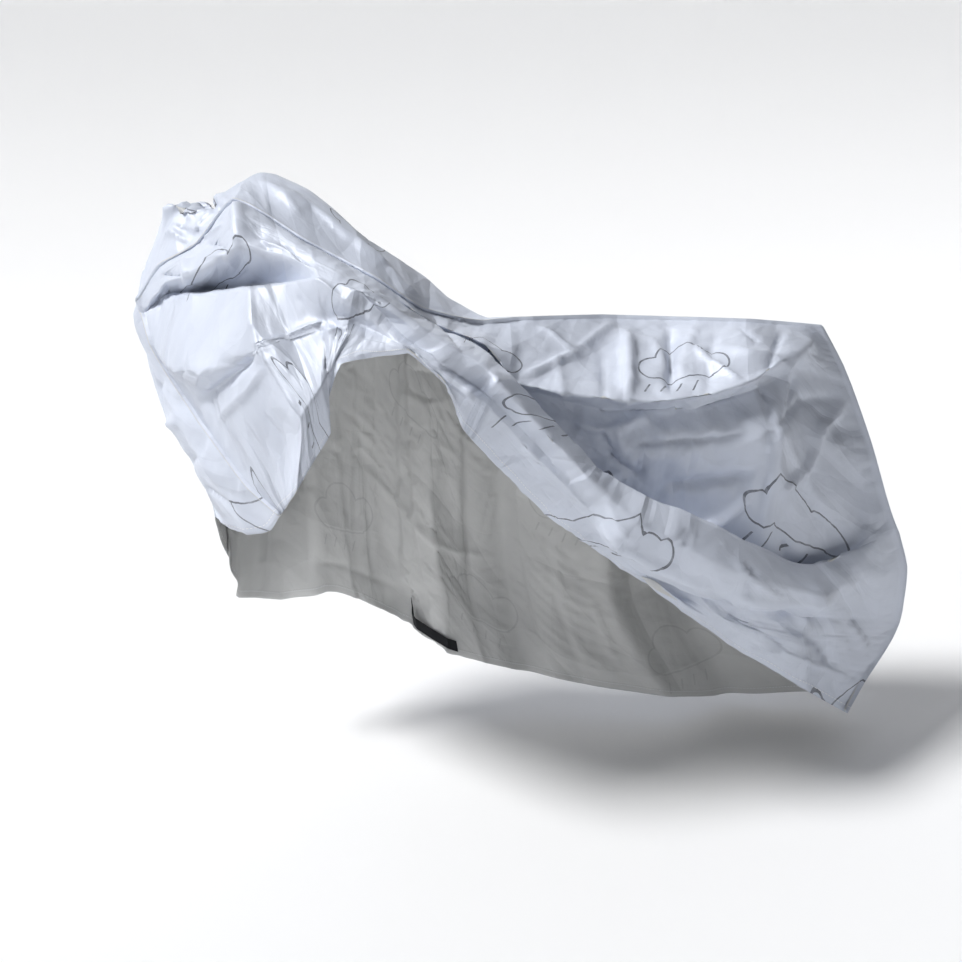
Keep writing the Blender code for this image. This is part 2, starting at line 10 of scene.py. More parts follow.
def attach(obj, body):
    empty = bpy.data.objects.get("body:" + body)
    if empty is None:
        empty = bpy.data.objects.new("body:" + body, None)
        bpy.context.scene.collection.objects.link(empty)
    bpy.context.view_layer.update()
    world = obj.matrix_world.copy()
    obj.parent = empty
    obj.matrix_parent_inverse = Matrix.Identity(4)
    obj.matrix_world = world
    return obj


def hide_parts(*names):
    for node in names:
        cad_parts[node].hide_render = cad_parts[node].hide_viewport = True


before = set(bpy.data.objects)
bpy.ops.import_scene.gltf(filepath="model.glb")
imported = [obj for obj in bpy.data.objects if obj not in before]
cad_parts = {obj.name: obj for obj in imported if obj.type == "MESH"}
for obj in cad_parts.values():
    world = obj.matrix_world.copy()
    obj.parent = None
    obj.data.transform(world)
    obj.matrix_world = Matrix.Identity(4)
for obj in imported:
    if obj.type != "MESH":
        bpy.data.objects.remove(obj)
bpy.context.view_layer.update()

# ------------------------------------------------------------------------------
# Near panel. One side of the cover, cut from thin film with a silver coat outside and a
# grey back. It hangs in the folds set out below, pulled up at its front, and its edges
# are welded to the far panel's in a narrow standing fin.

# The tables give places on the covered cycle: along from the front hub, across to the far
# side, and up from the ground. SEAT is the origin, where the saddle carries the cover.
SEAT = np.array((0.85, -0.12, 0.95))
# "at" counts stations from the nose: the rear folds begin to open, lie open, and end
FADE_START, DIP_START, TAIL = 5.5, 9, 19

# (at, along, across, up)
SEAM = (
    (0, -0.105, 0.110, 1.035),
    (1, -0.055, 0.090, 1.100),
    (2, 0.030, 0.015, 1.150),
    (3, 0.105, -0.055, 1.230),
    (5, 0.230, -0.150, 1.155),
    (7, 0.345, -0.200, 1.090),
    (9, 0.430, -0.220, 1.030),
    (11, 0.555, -0.120, 0.985),
    (12, 0.635, -0.070, 0.980),
    (14, 0.805, -0.050, 0.972),
    (17, 1.120, -0.050, 0.946),
    (19, 1.268, -0.060, 0.927),
)
FLAP = (
    (9, 0.440, -0.240, 1.020),
    (11, 0.545, -0.190, 0.976),
    (12, 0.615, -0.190, 0.940),
    (14, 0.780, -0.190, 0.915),
    (17, 1.075, -0.180, 0.912),
    (18, 1.175, -0.130, 0.919),
    (19, 1.290, -0.060, 0.890),
)
LIP = (
    (9, 0.442, -0.260, 1.015),
    (11, 0.530, -0.290, 0.975),
    (12, 0.590, -0.305, 0.904),
    (14, 0.747, -0.320, 0.868),
    (15, 0.841, -0.320, 0.856),
    (16, 0.940, -0.310, 0.859),
    (17, 1.043, -0.275, 0.873),
    (18, 1.148, -0.185, 0.897),
    (19, 1.316, -0.060, 0.844),
)
TUCK = (
    (9, 0.442, -0.255, 1.010),
    (11, 0.540, -0.250, 0.962),
    (12, 0.600, -0.250, 0.886),
    (14, 0.760, -0.260, 0.835),
    (16, 0.954, -0.260, 0.838),
    (17, 1.061, -0.240, 0.852),
    (18, 1.159, -0.170, 0.868),
    (19, 1.335, -0.060, 0.803),
)
PANEL = (
    (9, 0.442, -0.265, 1.005),
    (11, 0.545, -0.255, 0.953),
    (12, 0.610, -0.255, 0.863),
    (13, 0.700, -0.262, 0.807),
    (14, 0.790, -0.282, 0.765),
    (15, 0.868, -0.272, 0.769),
    (16, 0.962, -0.262, 0.768),
    (17, 1.082, -0.268, 0.773),
    (18, 1.189, -0.190, 0.757),
    (19, 1.380, -0.070, 0.683),
)
VALLEY = (
    (9, 0.440, -0.275, 1.005),
    (11, 0.535, -0.285, 0.940),
    (12, 0.605, -0.275, 0.845),
    (13, 0.690, -0.270, 0.755),
    (14, 0.775, -0.265, 0.680),
    (15, 0.860, -0.265, 0.612),
    (16, 0.958, -0.265, 0.565),
    (17, 1.070, -0.262, 0.510),
    (18, 1.232, -0.195, 0.445),
    (19, 1.437, -0.080, 0.508),
)
BAND_TOP = (
    (9, 0.436, -0.285, 1.020),
    (11, 0.518, -0.335, 0.975),
    (12, 0.577, -0.355, 0.915),
    (13, 0.647, -0.370, 0.835),
    (14, 0.717, -0.395, 0.761),
    (15, 0.796, -0.405, 0.705),
    (16, 0.894, -0.385, 0.652),
    (17, 1.010, -0.345, 0.580),
    (18, 1.194, -0.240, 0.483),
    (19, 1.454, -0.080, 0.470),
)
BAND_CREST = (
    (0, -0.099, 0.103, 1.015),
    (1, -0.039, 0.014, 1.077),
    (2, 0.044, -0.097, 1.119),
    (3, 0.122, -0.192, 1.160),
    (5, 0.239, -0.290, 1.124),
    (7, 0.330, -0.360, 1.077),
    (9, 0.409, -0.395, 1.024),
    (11, 0.511, -0.405, 0.954),
    (12, 0.551, -0.405, 0.909),
    (13, 0.620, -0.412, 0.829),
    (14, 0.691, -0.425, 0.749),
    (15, 0.772, -0.434, 0.668),
    (16, 0.874, -0.420, 0.602),
    (17, 0.994, -0.386, 0.528),
    (18, 1.182, -0.284, 0.437),
    (19, 1.477, -0.080, 0.392),
)
BAND_LOW = (
    (0, -0.097, 0.101, 1.009),
    (1, -0.038, 0.071, 1.050),
    (2, 0.045, -0.015, 1.060),
    (3, 0.123, -0.110, 1.075),
    (4, 0.187, -0.205, 1.090),
    (5, 0.243, -0.310, 1.108),
    (7, 0.315, -0.350, 1.084),
    (9, 0.381, -0.385, 1.008),
    (10, 0.438, -0.400, 0.964),
    (11, 0.493, -0.385, 0.922),
    (12, 0.534, -0.380, 0.886),
    (14, 0.671, -0.402, 0.730),
    (15, 0.748, -0.407, 0.621),
    (16, 0.864, -0.391, 0.538),
    (17, 0.995, -0.353, 0.464),
    (18, 1.187, -0.256, 0.384),
    (19, 1.472, -0.080, 0.290),
)
STRIP_TOP = (
    (0, -0.094, 0.089, 1.003),
    (1, -0.024, 0.006, 1.050),
    (2, 0.050, -0.100, 1.068),
    (3, 0.125, -0.226, 1.089),
    (4, 0.183, -0.269, 1.098),
    (5, 0.241, -0.328, 1.111),
    (6, 0.273, -0.344, 1.084),
    (7, 0.306, -0.358, 1.057),
    (9, 0.373, -0.400, 1.002),
    (11, 0.484, -0.410, 0.915),
    (12, 0.523, -0.390, 0.876),
    (14, 0.664, -0.392, 0.712),
    (15, 0.745, -0.392, 0.604),
    (17, 0.999, -0.345, 0.443),
    (18, 1.189, -0.250, 0.364),
    (19, 1.467, -0.080, 0.264),
)
BROW = (
    (0, -0.080, 0.039, 0.958),
    (1, -0.036, -0.073, 0.921),
    (2, 0.037, -0.176, 0.945),
    (3, 0.132, -0.289, 0.994),
    (4, 0.185, -0.308, 1.016),
    (5, 0.241, -0.329, 1.040),
    (6, 0.267, -0.340, 1.047),
    (7, 0.299, -0.354, 1.036),
    (9, 0.375, -0.405, 1.000),
    (11, 0.482, -0.410, 0.905),
    (12, 0.519, -0.385, 0.866),
    (14, 0.658, -0.385, 0.701),
    (15, 0.747, -0.364, 0.590),
    (17, 1.002, -0.330, 0.424),
    (18, 1.190, -0.235, 0.330),
    (19, 1.450, -0.090, 0.238),
)
STRIP_MID = (
    (0, 0.004, -0.048, 0.819),
    (1, 0.045, -0.145, 0.884),
    (2, 0.096, -0.246, 0.941),
    (3, 0.137, -0.305, 0.991),
    (4, 0.190, -0.317, 1.007),
    (5, 0.241, -0.339, 1.023),
    (6, 0.266, -0.359, 1.019),
    (7, 0.292, -0.366, 1.019),
    (9, 0.377, -0.405, 0.996),
    (11, 0.481, -0.405, 0.897),
    (12, 0.515, -0.380, 0.857),
    (14, 0.651, -0.374, 0.689),
    (15, 0.743, -0.353, 0.585),
    (16, 0.879, -0.307, 0.479),
    (17, 0.998, -0.328, 0.409),
    (18, 1.180, -0.240, 0.306),
    (19, 1.427, -0.100, 0.210),
)
TURN = (
    (0, 0.093, -0.154, 0.704),
    (1, 0.132, -0.243, 0.753),
    (2, 0.166, -0.314, 0.812),
    (3, 0.196, -0.412, 0.890),
    (4, 0.214, -0.414, 0.918),
    (5, 0.233, -0.404, 0.942),
    (6, 0.251, -0.381, 0.961),
    (7, 0.265, -0.372, 0.978),
    (8, 0.326, -0.395, 0.991),
    (9, 0.380, -0.405, 0.993),
    (10, 0.439, -0.410, 0.939),
    (11, 0.474, -0.400, 0.871),
    (12, 0.506, -0.369, 0.834),
    (14, 0.638, -0.359, 0.673),
    (15, 0.741, -0.336, 0.575),
    (17, 1.000, -0.303, 0.376),
    (18, 1.167, -0.238, 0.259),
    (19, 1.370, -0.128, 0.156),
)
HEM = (
    (0, 0.148, -0.227, 0.668),
    (1, 0.157, -0.250, 0.686),
    (2, 0.166, -0.281, 0.708),
    (3, 0.181, -0.332, 0.742),
    (4, 0.214, -0.358, 0.801),
    (5, 0.245, -0.358, 0.849),
    (6, 0.245, -0.373, 0.908),
    (7, 0.270, -0.385, 0.972),
    (8, 0.326, -0.385, 0.981),
    (9, 0.383, -0.395, 0.984),
    (10, 0.445, -0.400, 0.926),
    (11, 0.471, -0.390, 0.848),
    (12, 0.495, -0.360, 0.815),
    (14, 0.629, -0.341, 0.661),
    (15, 0.741, -0.320, 0.565),
    (17, 1.002, -0.275, 0.347),
    (18, 1.159, -0.220, 0.221),
    (19, 1.317, -0.160, 0.101),
)
# (fold, crispness, rows of film down to the next fold)
NEAR_FOLDS = (
    (SEAM, 0.0, 24),
    (FLAP, 0.1, 20),
    (LIP, 0.9, 6),
    (TUCK, 0.6, 12),
    (PANEL, 0.1, 30),
    (VALLEY, 0.3, 10),
    (BAND_TOP, 0.9, 10),
    (BAND_CREST, 0.4, 10),
    (BAND_LOW, 0.8, 8),
    (STRIP_TOP, 0.7, 14),
    (BROW, 0.5, 18),
    (STRIP_MID, 0.9, 24),
    (TURN, 0.6, 10),
    (HEM, 0.0, 0),
)
# How far down from the seam to the band's crest each rear fold lies where it starts, and how
# far the film ahead of them bulges
GATHER = (0.10, 0.14, 0.18, 0.22, 0.27, 0.34)
FRONT_BELLY = 0.012
# Stations of the columns of corner points, closer together at the nose
COLUMNS = np.concatenate((np.linspace(0, 5, 76)[:-1], np.linspace(5, TAIL, 170)))

# Creases pressed or pulled into the film. "down" counts folds from the seam, and "tall" is
# plus where the film stands out and minus where it sinks in:
# (from at, from down, to at, to down, wide, tall)
NEAR_CREASES = (
    (3.0, 1.4, 2.9, 7.3, 0.018, 0.014),
    (3.3, 4.5, 3.7, 7.0, 0.018, -0.008),
    (1.6, 3.5, 1.5, 7.6, 0.016, 0.010),
    (2.9, 10.9, 0.1, 10.9, 0.010, -0.014),
    (4.8, 9.8, 6.7, 11.0, 0.016, -0.010),
    (14.5, 0.3, 14.4, 1.9, 0.014, 0.018),
    (15.4, 0.2, 15.3, 1.9, 0.012, -0.020),
    (14.3, 0.1, 13.4, 0.8, 0.012, 0.008),
    (13.4, 0.8, 12.1, 1.8, 0.014, 0.010),
    (16.6, 1.0, 17.6, 1.5, 0.022, 0.013),
    (18.6, 0.7, 17.5, 3.7, 0.018, 0.014),
    (18.8, 3.4, 18.1, 4.2, 0.012, 0.012),
    (18.1, 4.2, 17.1, 4.4, 0.012, 0.012),
    (16.8, 4.3, 15.0, 4.5, 0.014, -0.022),
    (16.7, 4.4, 15.8, 5.0, 0.018, 0.020),
    (12.8, 4.0, 15.0, 3.2, 0.014, 0.012),
    (14.6, 4.0, 17.4, 4.0, 0.060, 0.024),
    (14.4, 8.2, 16.8, 8.0, 0.018, 0.012),
    (16.8, 8.0, 18.4, 7.3, 0.020, 0.012),
    (15.5, 12.2, 17.0, 9.3, 0.016, -0.012),
    (16.9, 9.4, 18.8, 8.8, 0.016, -0.014),
    (17.5, 8.2, 18.5, 12.0, 0.018, -0.012),
    (18.3, 8.0, 18.8, 11.3, 0.016, 0.010),
)

# Fine sharp creases on top of them, where the film was pressed flat or is pinched
NEAR_PRESSED = (
    (3, 1.1, 2.9, 7.4, 0.006, 0.005),
    (2.1, 3, 2.6, 7.3, 0.007, -0.009),
    (3.4, 5.7, 4.5, 6.7, 0.007, 0.009),
    (0.9, 3.3, 1.4, 7.4, 0.005, -0.009),
    (1.9, 5.9, 2.7, 7.5, 0.006, 0.007),
    (4.1, 5.3, 5, 7, 0.007, -0.009),
    (2.6, 3.2, 2.1, 1.6, 0.006, 0.009),
    (2.9, 9.1, 3.1, 10.9, 0.006, 0.007),
    (2.9, 11.2, 0.3, 11.2, 0.006, 0.009),
    (3, 11, 3, 12, 0.006, 0.009),
    (3.1, 10, 3.9, 10.3, 0.007, 0.007),
    (3.9, 10.3, 5.1, 10.1, 0.007, 0.009),
    (0.7, 11.3, 0.8, 11.9, 0.005, 0.005),
    (1.9, 11.5, 2.1, 11.9, 0.005, -0.005),
    (1.5, 9.9, 0.4, 10.6, 0.005, -0.006),
    (2.1, 10, 0.6, 10.8, 0.005, 0.005),
    (4.8, 10.6, 5.7, 12, 0.007, -0.007),
    (4.4, 9.3, 4.7, 9.9, 0.006, -0.006),
    (14.5, 0.3, 14.4, 2.8, 0.008, 0.008),
    (15, 0.5, 15.2, 1.3, 0.006, 0.009),
    (16.8, 0.2, 17.2, 0.8, 0.006, -0.009),
    (12.5, 0.2, 13.3, 0.9, 0.007, 0.009),
    (15.7, 0.7, 16.8, 2, 0.008, 0.013),
    (16.3, 0.2, 15.9, 2.8, 0.008, -0.008),
    (17.8, 0.3, 17.3, 2.7, 0.009, -0.010),
    (13.9, 0.7, 14, 2.8, 0.007, -0.007),
    (15.9, 0.2, 15.6, 1.1, 0.006, 0.009),
    (12.8, 0.9, 13.2, 2.8, 0.008, 0.007),
    (17.2, 2.7, 16.8, 4.7, 0.008, -0.015),
    (14, 4, 16.9, 4, 0.007, -0.011),
    (16.9, 4, 18.8, 3.3, 0.007, -0.011),
    (15, 4.4, 15, 5.8, 0.008, -0.013),
    (13.8, 5.6, 14.3, 4, 0.007, 0.013),
    (13.5, 3.8, 13.9, 4.5, 0.006, -0.012),
    (14, 3.4, 13.9, 4, 0.006, 0.011),
    (13.6, 4.3, 14.5, 4.5, 0.006, -0.011),
    (18.1, 3.1, 17.4, 3.8, 0.007, -0.011),
    (17.3, 4.1, 18.3, 4.5, 0.005, 0.007),
    (17.6, 4.3, 18.3, 4.7, 0.006, -0.009),
    (15, 3.2, 16.8, 2.3, 0.008, 0.013),
    (17.1, 4.5, 18.3, 5.8, 0.008, -0.013),
    (11.5, 6.8, 11.6, 8, 0.006, 0.007),
    (14.4, 7.2, 15.2, 7.7, 0.006, 0.009),
    (15.9, 6.4, 15.9, 7.7, 0.006, -0.007),
    (16.8, 6.7, 17.6, 7.5, 0.007, 0.012),
    (17.1, 6.5, 17.1, 7.9, 0.007, -0.011),
    (18, 6.7, 18, 8.5, 0.008, 0.011),
    (16.3, 10.3, 17.3, 11.5, 0.008, 0.011),
    (16.7, 10.1, 18, 11.7, 0.008, -0.011),
    (5.3, 10, 8.8, 9.9, 0.009, -0.005),
    (6.4, 6.6, 9.3, 7.3, 0.010, 0.007),
    (7.9, 3.2, 10.6, 7.5, 0.010, -0.007),
    (4.9, 11.2, 6.4, 10.5, 0.007, 0.009),
    (9.1, 9, 10.1, 7.7, 0.008, 0.009),
    (12.7, 9.1, 14.5, 8.3, 0.010, 0.010),
    (17.2, 12.5, 17.8, 11.5, 0.010, 0.010),
    (17.7, 11.5, 18.8, 12.0, 0.010, 0.010),
)

# Where the film has more length than its folds take up: (at, down, wide, tall, share)
SPARE_BASE = 0.05
NEAR_LOOSE = (
    (14.0, 1.2, 3.0, 1.0, 0.08),
    (13.5, 3.6, 2.5, 1.0, 0.22),
    (16.5, 4.5, 2.5, 1.0, 0.15),
    (3.0, 10.9, 0.8, 0.4, 0.12),
    (1.5, 6.5, 1.5, 1.5, 0.12),
)


def unit(vectors):
    return vectors / np.maximum(np.linalg.norm(vectors, axis=-1, keepdims=True), 1e-9)


def blend(start, end, share):
    return start + (end - start) * share


def eased(share):
    share = np.clip(share, 0, 1)
    return share * share * (3 - 2 * share)


def hermite(start, end, leave, arrive, share):
    """A curve from start to end, with its direction at each end."""
    early = share * (1 - share) ** 2
    late = share * share * (1 - share)
    return blend(start, end, share * share * (3 - 2 * share)) + leave * early - arrive * late


BEND_CRISPNESS = 0.6


def along_fold(fold, stations):
    """Places on one fold at the given stations, on a curve that doesn't swing past its bends."""
    bends = np.array(fold)
    at, places = bends[:, 0], bends[:, 1:]
    gap = np.diff(at)[:, None]
    slope = np.diff(places, axis=0) / gap
    before, after = slope[:-1], slope[1:]
    steady = before * after > 0
    weight_before = 2 * gap[1:] + gap[:-1]
    weight_after = gap[1:] + 2 * gap[:-1]
    turn = weight_before / np.where(steady, before, 1) + weight_after / np.where(steady, after, 1)
    middle = np.where(steady, 3 * (gap[1:] + gap[:-1]) / np.where(steady, turn, 1), 0)
    smooth = np.vstack((slope[:1], middle, slope[-1:]))
    span = np.clip(np.searchsorted(at, stations, "right") - 1, 0, len(at) - 2)
    share = ((np.clip(stations, at[0], at[-1]) - at[span]) / gap[span, 0])[:, None]
    leave = blend(smooth[span], slope[span], BEND_CRISPNESS) * gap[span]
    arrive = blend(smooth[span + 1], slope[span], BEND_CRISPNESS) * gap[span]
    return hermite(places[span], places[span + 1], leave, arrive, share)


def down_folds(rows, crisp, steps):
    """Rows of cloth from the first fold to the last. A crisp fold has a sharp edge."""
    chord = np.diff(rows, axis=0)
    length = np.linalg.norm(chord, axis=-1, keepdims=True) + 1e-6
    way = chord / length
    grid = []
    for k in range(len(chord)):
        pulls = []
        for fold in (k, k + 1):
            smooth = way[k]
            if 0 < fold < len(chord):
                total = length[fold - 1] + length[fold]
                smooth = (way[fold - 1] * length[fold] + way[fold] * length[fold - 1]) / total
            pulls.append(blend(smooth, way[k], crisp[fold]) * length[k])
        for step in range(steps[k]):
            grid.append(hermite(rows[k], rows[k + 1], *pulls, step / steps[k]))
    grid.append(rows[-1])
    return np.array(grid)


def outward_of(grid, side):
    """The way out of the film at each point. Side is 1 on the near panel, -1 on the far."""
    return unit(np.cross(np.gradient(grid, axis=0), np.gradient(grid, axis=1))) * side


CREASE_STEPS, CREASE_ENDS, CREASE_REACH = 12, 5, 1.2


def creased(grid, downs, creases, side, sharp=False):
    """The film with its creases. One that ends at the hem runs off it, others die out."""
    last = downs[-1, 0]
    lift = np.zeros(grid.shape[:2])
    share = np.linspace(0, 1, CREASE_STEPS + 1)
    for from_at, from_down, to_at, to_down, wide, tall in creases:
        ats, depths = blend(from_at, to_at, share), blend(from_down, to_down, share)
        column = np.interp(ats, COLUMNS, np.arange(len(COLUMNS)))
        j = np.minimum(column.astype(int), len(COLUMNS) - 2)
        right = (column - j)[:, None]
        spots = []
        for k in range(len(share)):
            strip = blend(grid[:, j[k]], grid[:, j[k] + 1], right[k])
            marks = blend(downs[:, j[k]], downs[:, j[k] + 1], right[k])
            spots.append([np.interp(depths[k], marks, strip[:, axis]) for axis in range(3)])
        spots = np.array(spots)
        dies_out = 1 if to_down >= last else eased(CREASE_ENDS * (1 - share))
        strength = eased(CREASE_ENDS * share) * dies_out
        near_by = slice(
            np.searchsorted(COLUMNS, min(from_at, to_at) - CREASE_REACH),
            np.searchsorted(COLUMNS, max(from_at, to_at) + CREASE_REACH),
        )
        part, part_downs = grid[:, near_by], downs[:, near_by]
        part_ats = COLUMNS[near_by]
        best = np.zeros(part.shape[:2])
        for k in range(len(share) - 1):
            run = spots[k + 1] - spots[k]
            along = np.clip(((part - spots[k]) @ run) / max(run @ run, 1e-9), 0, 1)
            away = np.linalg.norm(part - spots[k] - along[..., None] * run, axis=-1)
            same_layer = (np.abs(part_downs - depths[k]) < CREASE_REACH) & (
                np.abs(part_ats - ats[k]) < CREASE_REACH
            )
            here = blend(strength[k], strength[k + 1], along)
            height = np.exp(-away / wide) if sharp else 1 / (1 + (away / wide) ** 2) ** 1.5
            best = np.maximum(best, here * same_layer * height)
        lift[:, near_by] += tall * best
    return grid + outward_of(grid, side) * (lift * eased(COLUMNS))[..., None]


def near_film():
    """Places on the near panel: rows run down from the seam, columns back from the nose."""
    rows = np.array([along_fold(fold, COLUMNS) for fold, _, _ in NEAR_FOLDS])
    seam, crest = rows[0], rows[len(GATHER) + 1]
    ahead = COLUMNS < DIP_START
    start = np.flatnonzero(~ahead)[0]
    folded = eased((COLUMNS - FADE_START) / (DIP_START - FADE_START))[:, None]
    for k, share in enumerate(GATHER, 1):
        even = k / (len(GATHER) + 1)
        offset = rows[k, start] - blend(seam[start], crest[start], share)
        plain = blend(seam, crest, blend(even, share, folded)) + offset * folded
        belly = 4 * even * (1 - even) * eased(COLUMNS / 3)[:, None] * (1 - folded)
        plain[:, 2] += FRONT_BELLY * belly[:, 0]
        rows[k, ahead] = plain[ahead]
    _, crisp, steps = zip(*NEAR_FOLDS)
    downs = [k + n / fold[2] for k, fold in enumerate(NEAR_FOLDS) for n in range(fold[2])]
    downs = np.repeat(np.array(downs + [len(NEAR_FOLDS) - 1.0])[:, None], len(COLUMNS), 1)
    return down_folds(rows, crisp, steps), downs


CUT_LONG = 2.0


def cut_places(grid):
    """Each point's place on the flat cut, in metres: back from the nose, down from the seam."""
    step = np.linalg.norm(np.diff(grid, axis=0), axis=-1)
    down = np.vstack((np.zeros_like(step[:1]), np.cumsum(step, axis=0)))
    along = np.broadcast_to(CUT_LONG * COLUMNS / TAIL, down.shape)
    return along, down


# Shallow facets left from being packed small: (turn in degrees, spacing, tall, start). Their
# ridges wander, and they come in patches, by these shares of the spacing.
CRUMPLE = (
    (12, 0.083, 0.0022, 0.3),
    (78, 0.097, 0.0024, 1.9),
    (-38, 0.061, 0.0014, 3.1),
    (51, 0.052, 0.0012, 4.4),
    (-71, 0.034, 0.0007, 0.9),
    (28, 0.029, 0.0006, 2.2),
)
WANDER, WANDER_LONG, PATCH_LONG, PATCH_WIDE, PATCH_FIRM = 0.35, 2.3, 3.1, 2.7, 0.9


def crumpled(along, down):
    """How far the film's packing facets lift it, from its place on the flat cut."""
    lift = np.zeros_like(along)
    for turn, spacing, tall, start in CRUMPLE:
        cos, sin = math.cos(math.radians(turn)), math.sin(math.radians(turn))
        way, side = along * cos + down * sin, down * cos - along * sin
        wander = WANDER * spacing * np.sin(side / (WANDER_LONG * spacing) + start)
        ridge = np.abs(((way + wander) / spacing + start) % 1 - 0.5) * 2
        patch = np.sin(way / (PATCH_LONG * spacing) + 2 * start)
        patch = patch * np.sin(side / (PATCH_WIDE * spacing) + start)
        lift += tall * (ridge - 0.5) * eased(0.5 + PATCH_FIRM * patch)
    return lift


# The facets are taller at the rear, die out near the seam and the ends, and are nearly flat
# on the bulge over the handlebar, where the far film is drawn tight
FRONT_FACETS, REAR_FACETS, REAR_FROM, REAR_OVER = 0.6, 1.3, 4.5, 2
CLEAR_OF_SEAM, CLEAR_OF_ENDS = 0.05, 0.08
TIGHT_SHARE, TIGHT_FROM, TIGHT_OVER, TIGHT_DOWN = 0.9, 2.2, 0.6, 1.8


def faceted(grid, downs, side):
    """The film with its packing facets."""
    along, down = cut_places(grid)
    clear = eased(down / CLEAR_OF_SEAM)
    clear = clear * eased(along / CLEAR_OF_ENDS) * eased((CUT_LONG - along) / CLEAR_OF_ENDS)
    true_step = np.linalg.norm(np.gradient(grid, axis=1), axis=-1)
    gathered = np.minimum(true_step / np.gradient(along, axis=1), 1) ** 2
    height = blend(FRONT_FACETS, REAR_FACETS, eased((COLUMNS - REAR_FROM) / REAR_OVER))
    if side < 0:
        tight = eased((COLUMNS - TIGHT_FROM) / TIGHT_OVER) * eased(TIGHT_DOWN - downs)
        height = height * (1 - TIGHT_SHARE * tight)
    lift = crumpled(along, down) * clear * gathered * height
    return grid + outward_of(grid, side) * lift[..., None]


def spare_film(downs, places):
    """How loose the film is at each point, from 0 to 1: a base, and more at some places."""
    loose = np.full(downs.shape, SPARE_BASE)
    for at, down, wide, tall, amount in places:
        away = ((COLUMNS - at) / wide) ** 2 + ((downs - down) / tall) ** 2
        loose += amount * np.exp(-away)
    return np.clip(loose, 0, 1)


# The film is light and bends easily. It settles in SETTLING steps with at most MOST_SPARE of
# spare length, held lightly to its folds, and no point moves over MOST_MOVE.
SETTLING, MOST_SPARE, MOST_MOVE, TIGHT_LEVELS, HOLD = 9, 0.10, 0.016, 40, 0.1
FILM_CLOTH = (
    ("quality", 4),
    ("mass", 0.05),
    ("air_damping", 2.0),
    ("tension_stiffness", 15),
    ("compression_stiffness", 15),
    ("shear_stiffness", 7.5),
    ("bending_stiffness", 0.5),
    ("tension_damping", 10),
    ("compression_damping", 10),
    ("shear_damping", 10),
    ("vertex_group_mass", "held"),
    ("vertex_group_shrink", "tight"),
    ("shrink_min", -MOST_SPARE),
    ("shrink_max", 0.0),
)


def cells_of(grid):
    """The number of each point of a grid, and its four-cornered cells."""
    number = np.arange(grid.shape[0] * grid.shape[1]).reshape(grid.shape[:2])
    cells = np.stack((number[:-1, :-1], number[1:, :-1], number[1:, 1:], number[:-1, 1:]), -1)
    return number, cells.reshape(-1, 4)


def placed(name, data):
    """A new object in the scene."""
    thing = bpy.data.objects.new(name, data)
    bpy.context.scene.collection.objects.link(thing)
    return thing


def settled(name, grid, spare):
    """The film as it crumples: it has a little more length than its folds, so it buckles."""
    number, cells = cells_of(grid)
    mesh = bpy.data.meshes.new(name)
    mesh.from_pydata(grid.reshape(-1, 3).tolist(), [], cells.tolist())
    film = placed(name, mesh)
    welded = np.zeros(number.shape, dtype=bool)
    welded[0] = welded[:, 0] = welded[:, -1] = True
    held = film.vertex_groups.new(name="held")
    held.add(np.flatnonzero(~welded).tolist(), HOLD, "REPLACE")
    held.add(np.flatnonzero(welded).tolist(), 1.0, "REPLACE")
    tight = film.vertex_groups.new(name="tight")
    for level in range(TIGHT_LEVELS + 1):
        chosen = np.flatnonzero(np.rint((1 - spare.ravel()) * TIGHT_LEVELS) == level)
        tight.add(chosen.tolist(), level / TIGHT_LEVELS, "REPLACE")
    cloth = film.modifiers.new("film", "CLOTH")
    for setting, value in FILM_CLOTH:
        setattr(cloth.settings, setting, value)
    cloth.settings.effector_weights.gravity = 0.0
    cloth.collision_settings.use_collision = False
    cloth.collision_settings.use_self_collision = False
    cloth.point_cache.frame_end = SETTLING
    for step in range(1, SETTLING + 1):
        bpy.context.scene.frame_set(step)
    result = film.evaluated_get(bpy.context.evaluated_depsgraph_get()).to_mesh()
    places = np.empty(grid.size, dtype=np.float32)
    result.vertices.foreach_get("co", places)
    moved = places.reshape(grid.shape) - grid
    bpy.data.objects.remove(film)
    bpy.context.scene.frame_set(1)
    length = np.linalg.norm(moved, axis=-1, keepdims=True)
    moved[:, [0, -1]] = moved[0] = 0
    return grid + moved * MOST_MOVE * np.tanh(length / MOST_MOVE) / np.maximum(length, 1e-9)


near, near_downs = near_film()
near = creased_near = creased(near, near_downs, NEAR_CREASES, 1)
near = faceted_near = faceted(near, near_downs, 1)
near = settled("near_settling", near, spare_film(near_downs, NEAR_LOOSE))
near = creased(near, near_downs, NEAR_PRESSED, 1, sharp=True)


# ------------------------------------------------------------------------------
# Far panel. The other side of the cover, of the same film and cut. It wraps round the nose
# and the far end of the handlebar, and hangs straight down on the far side. Its edges keep
# to the near panel's.

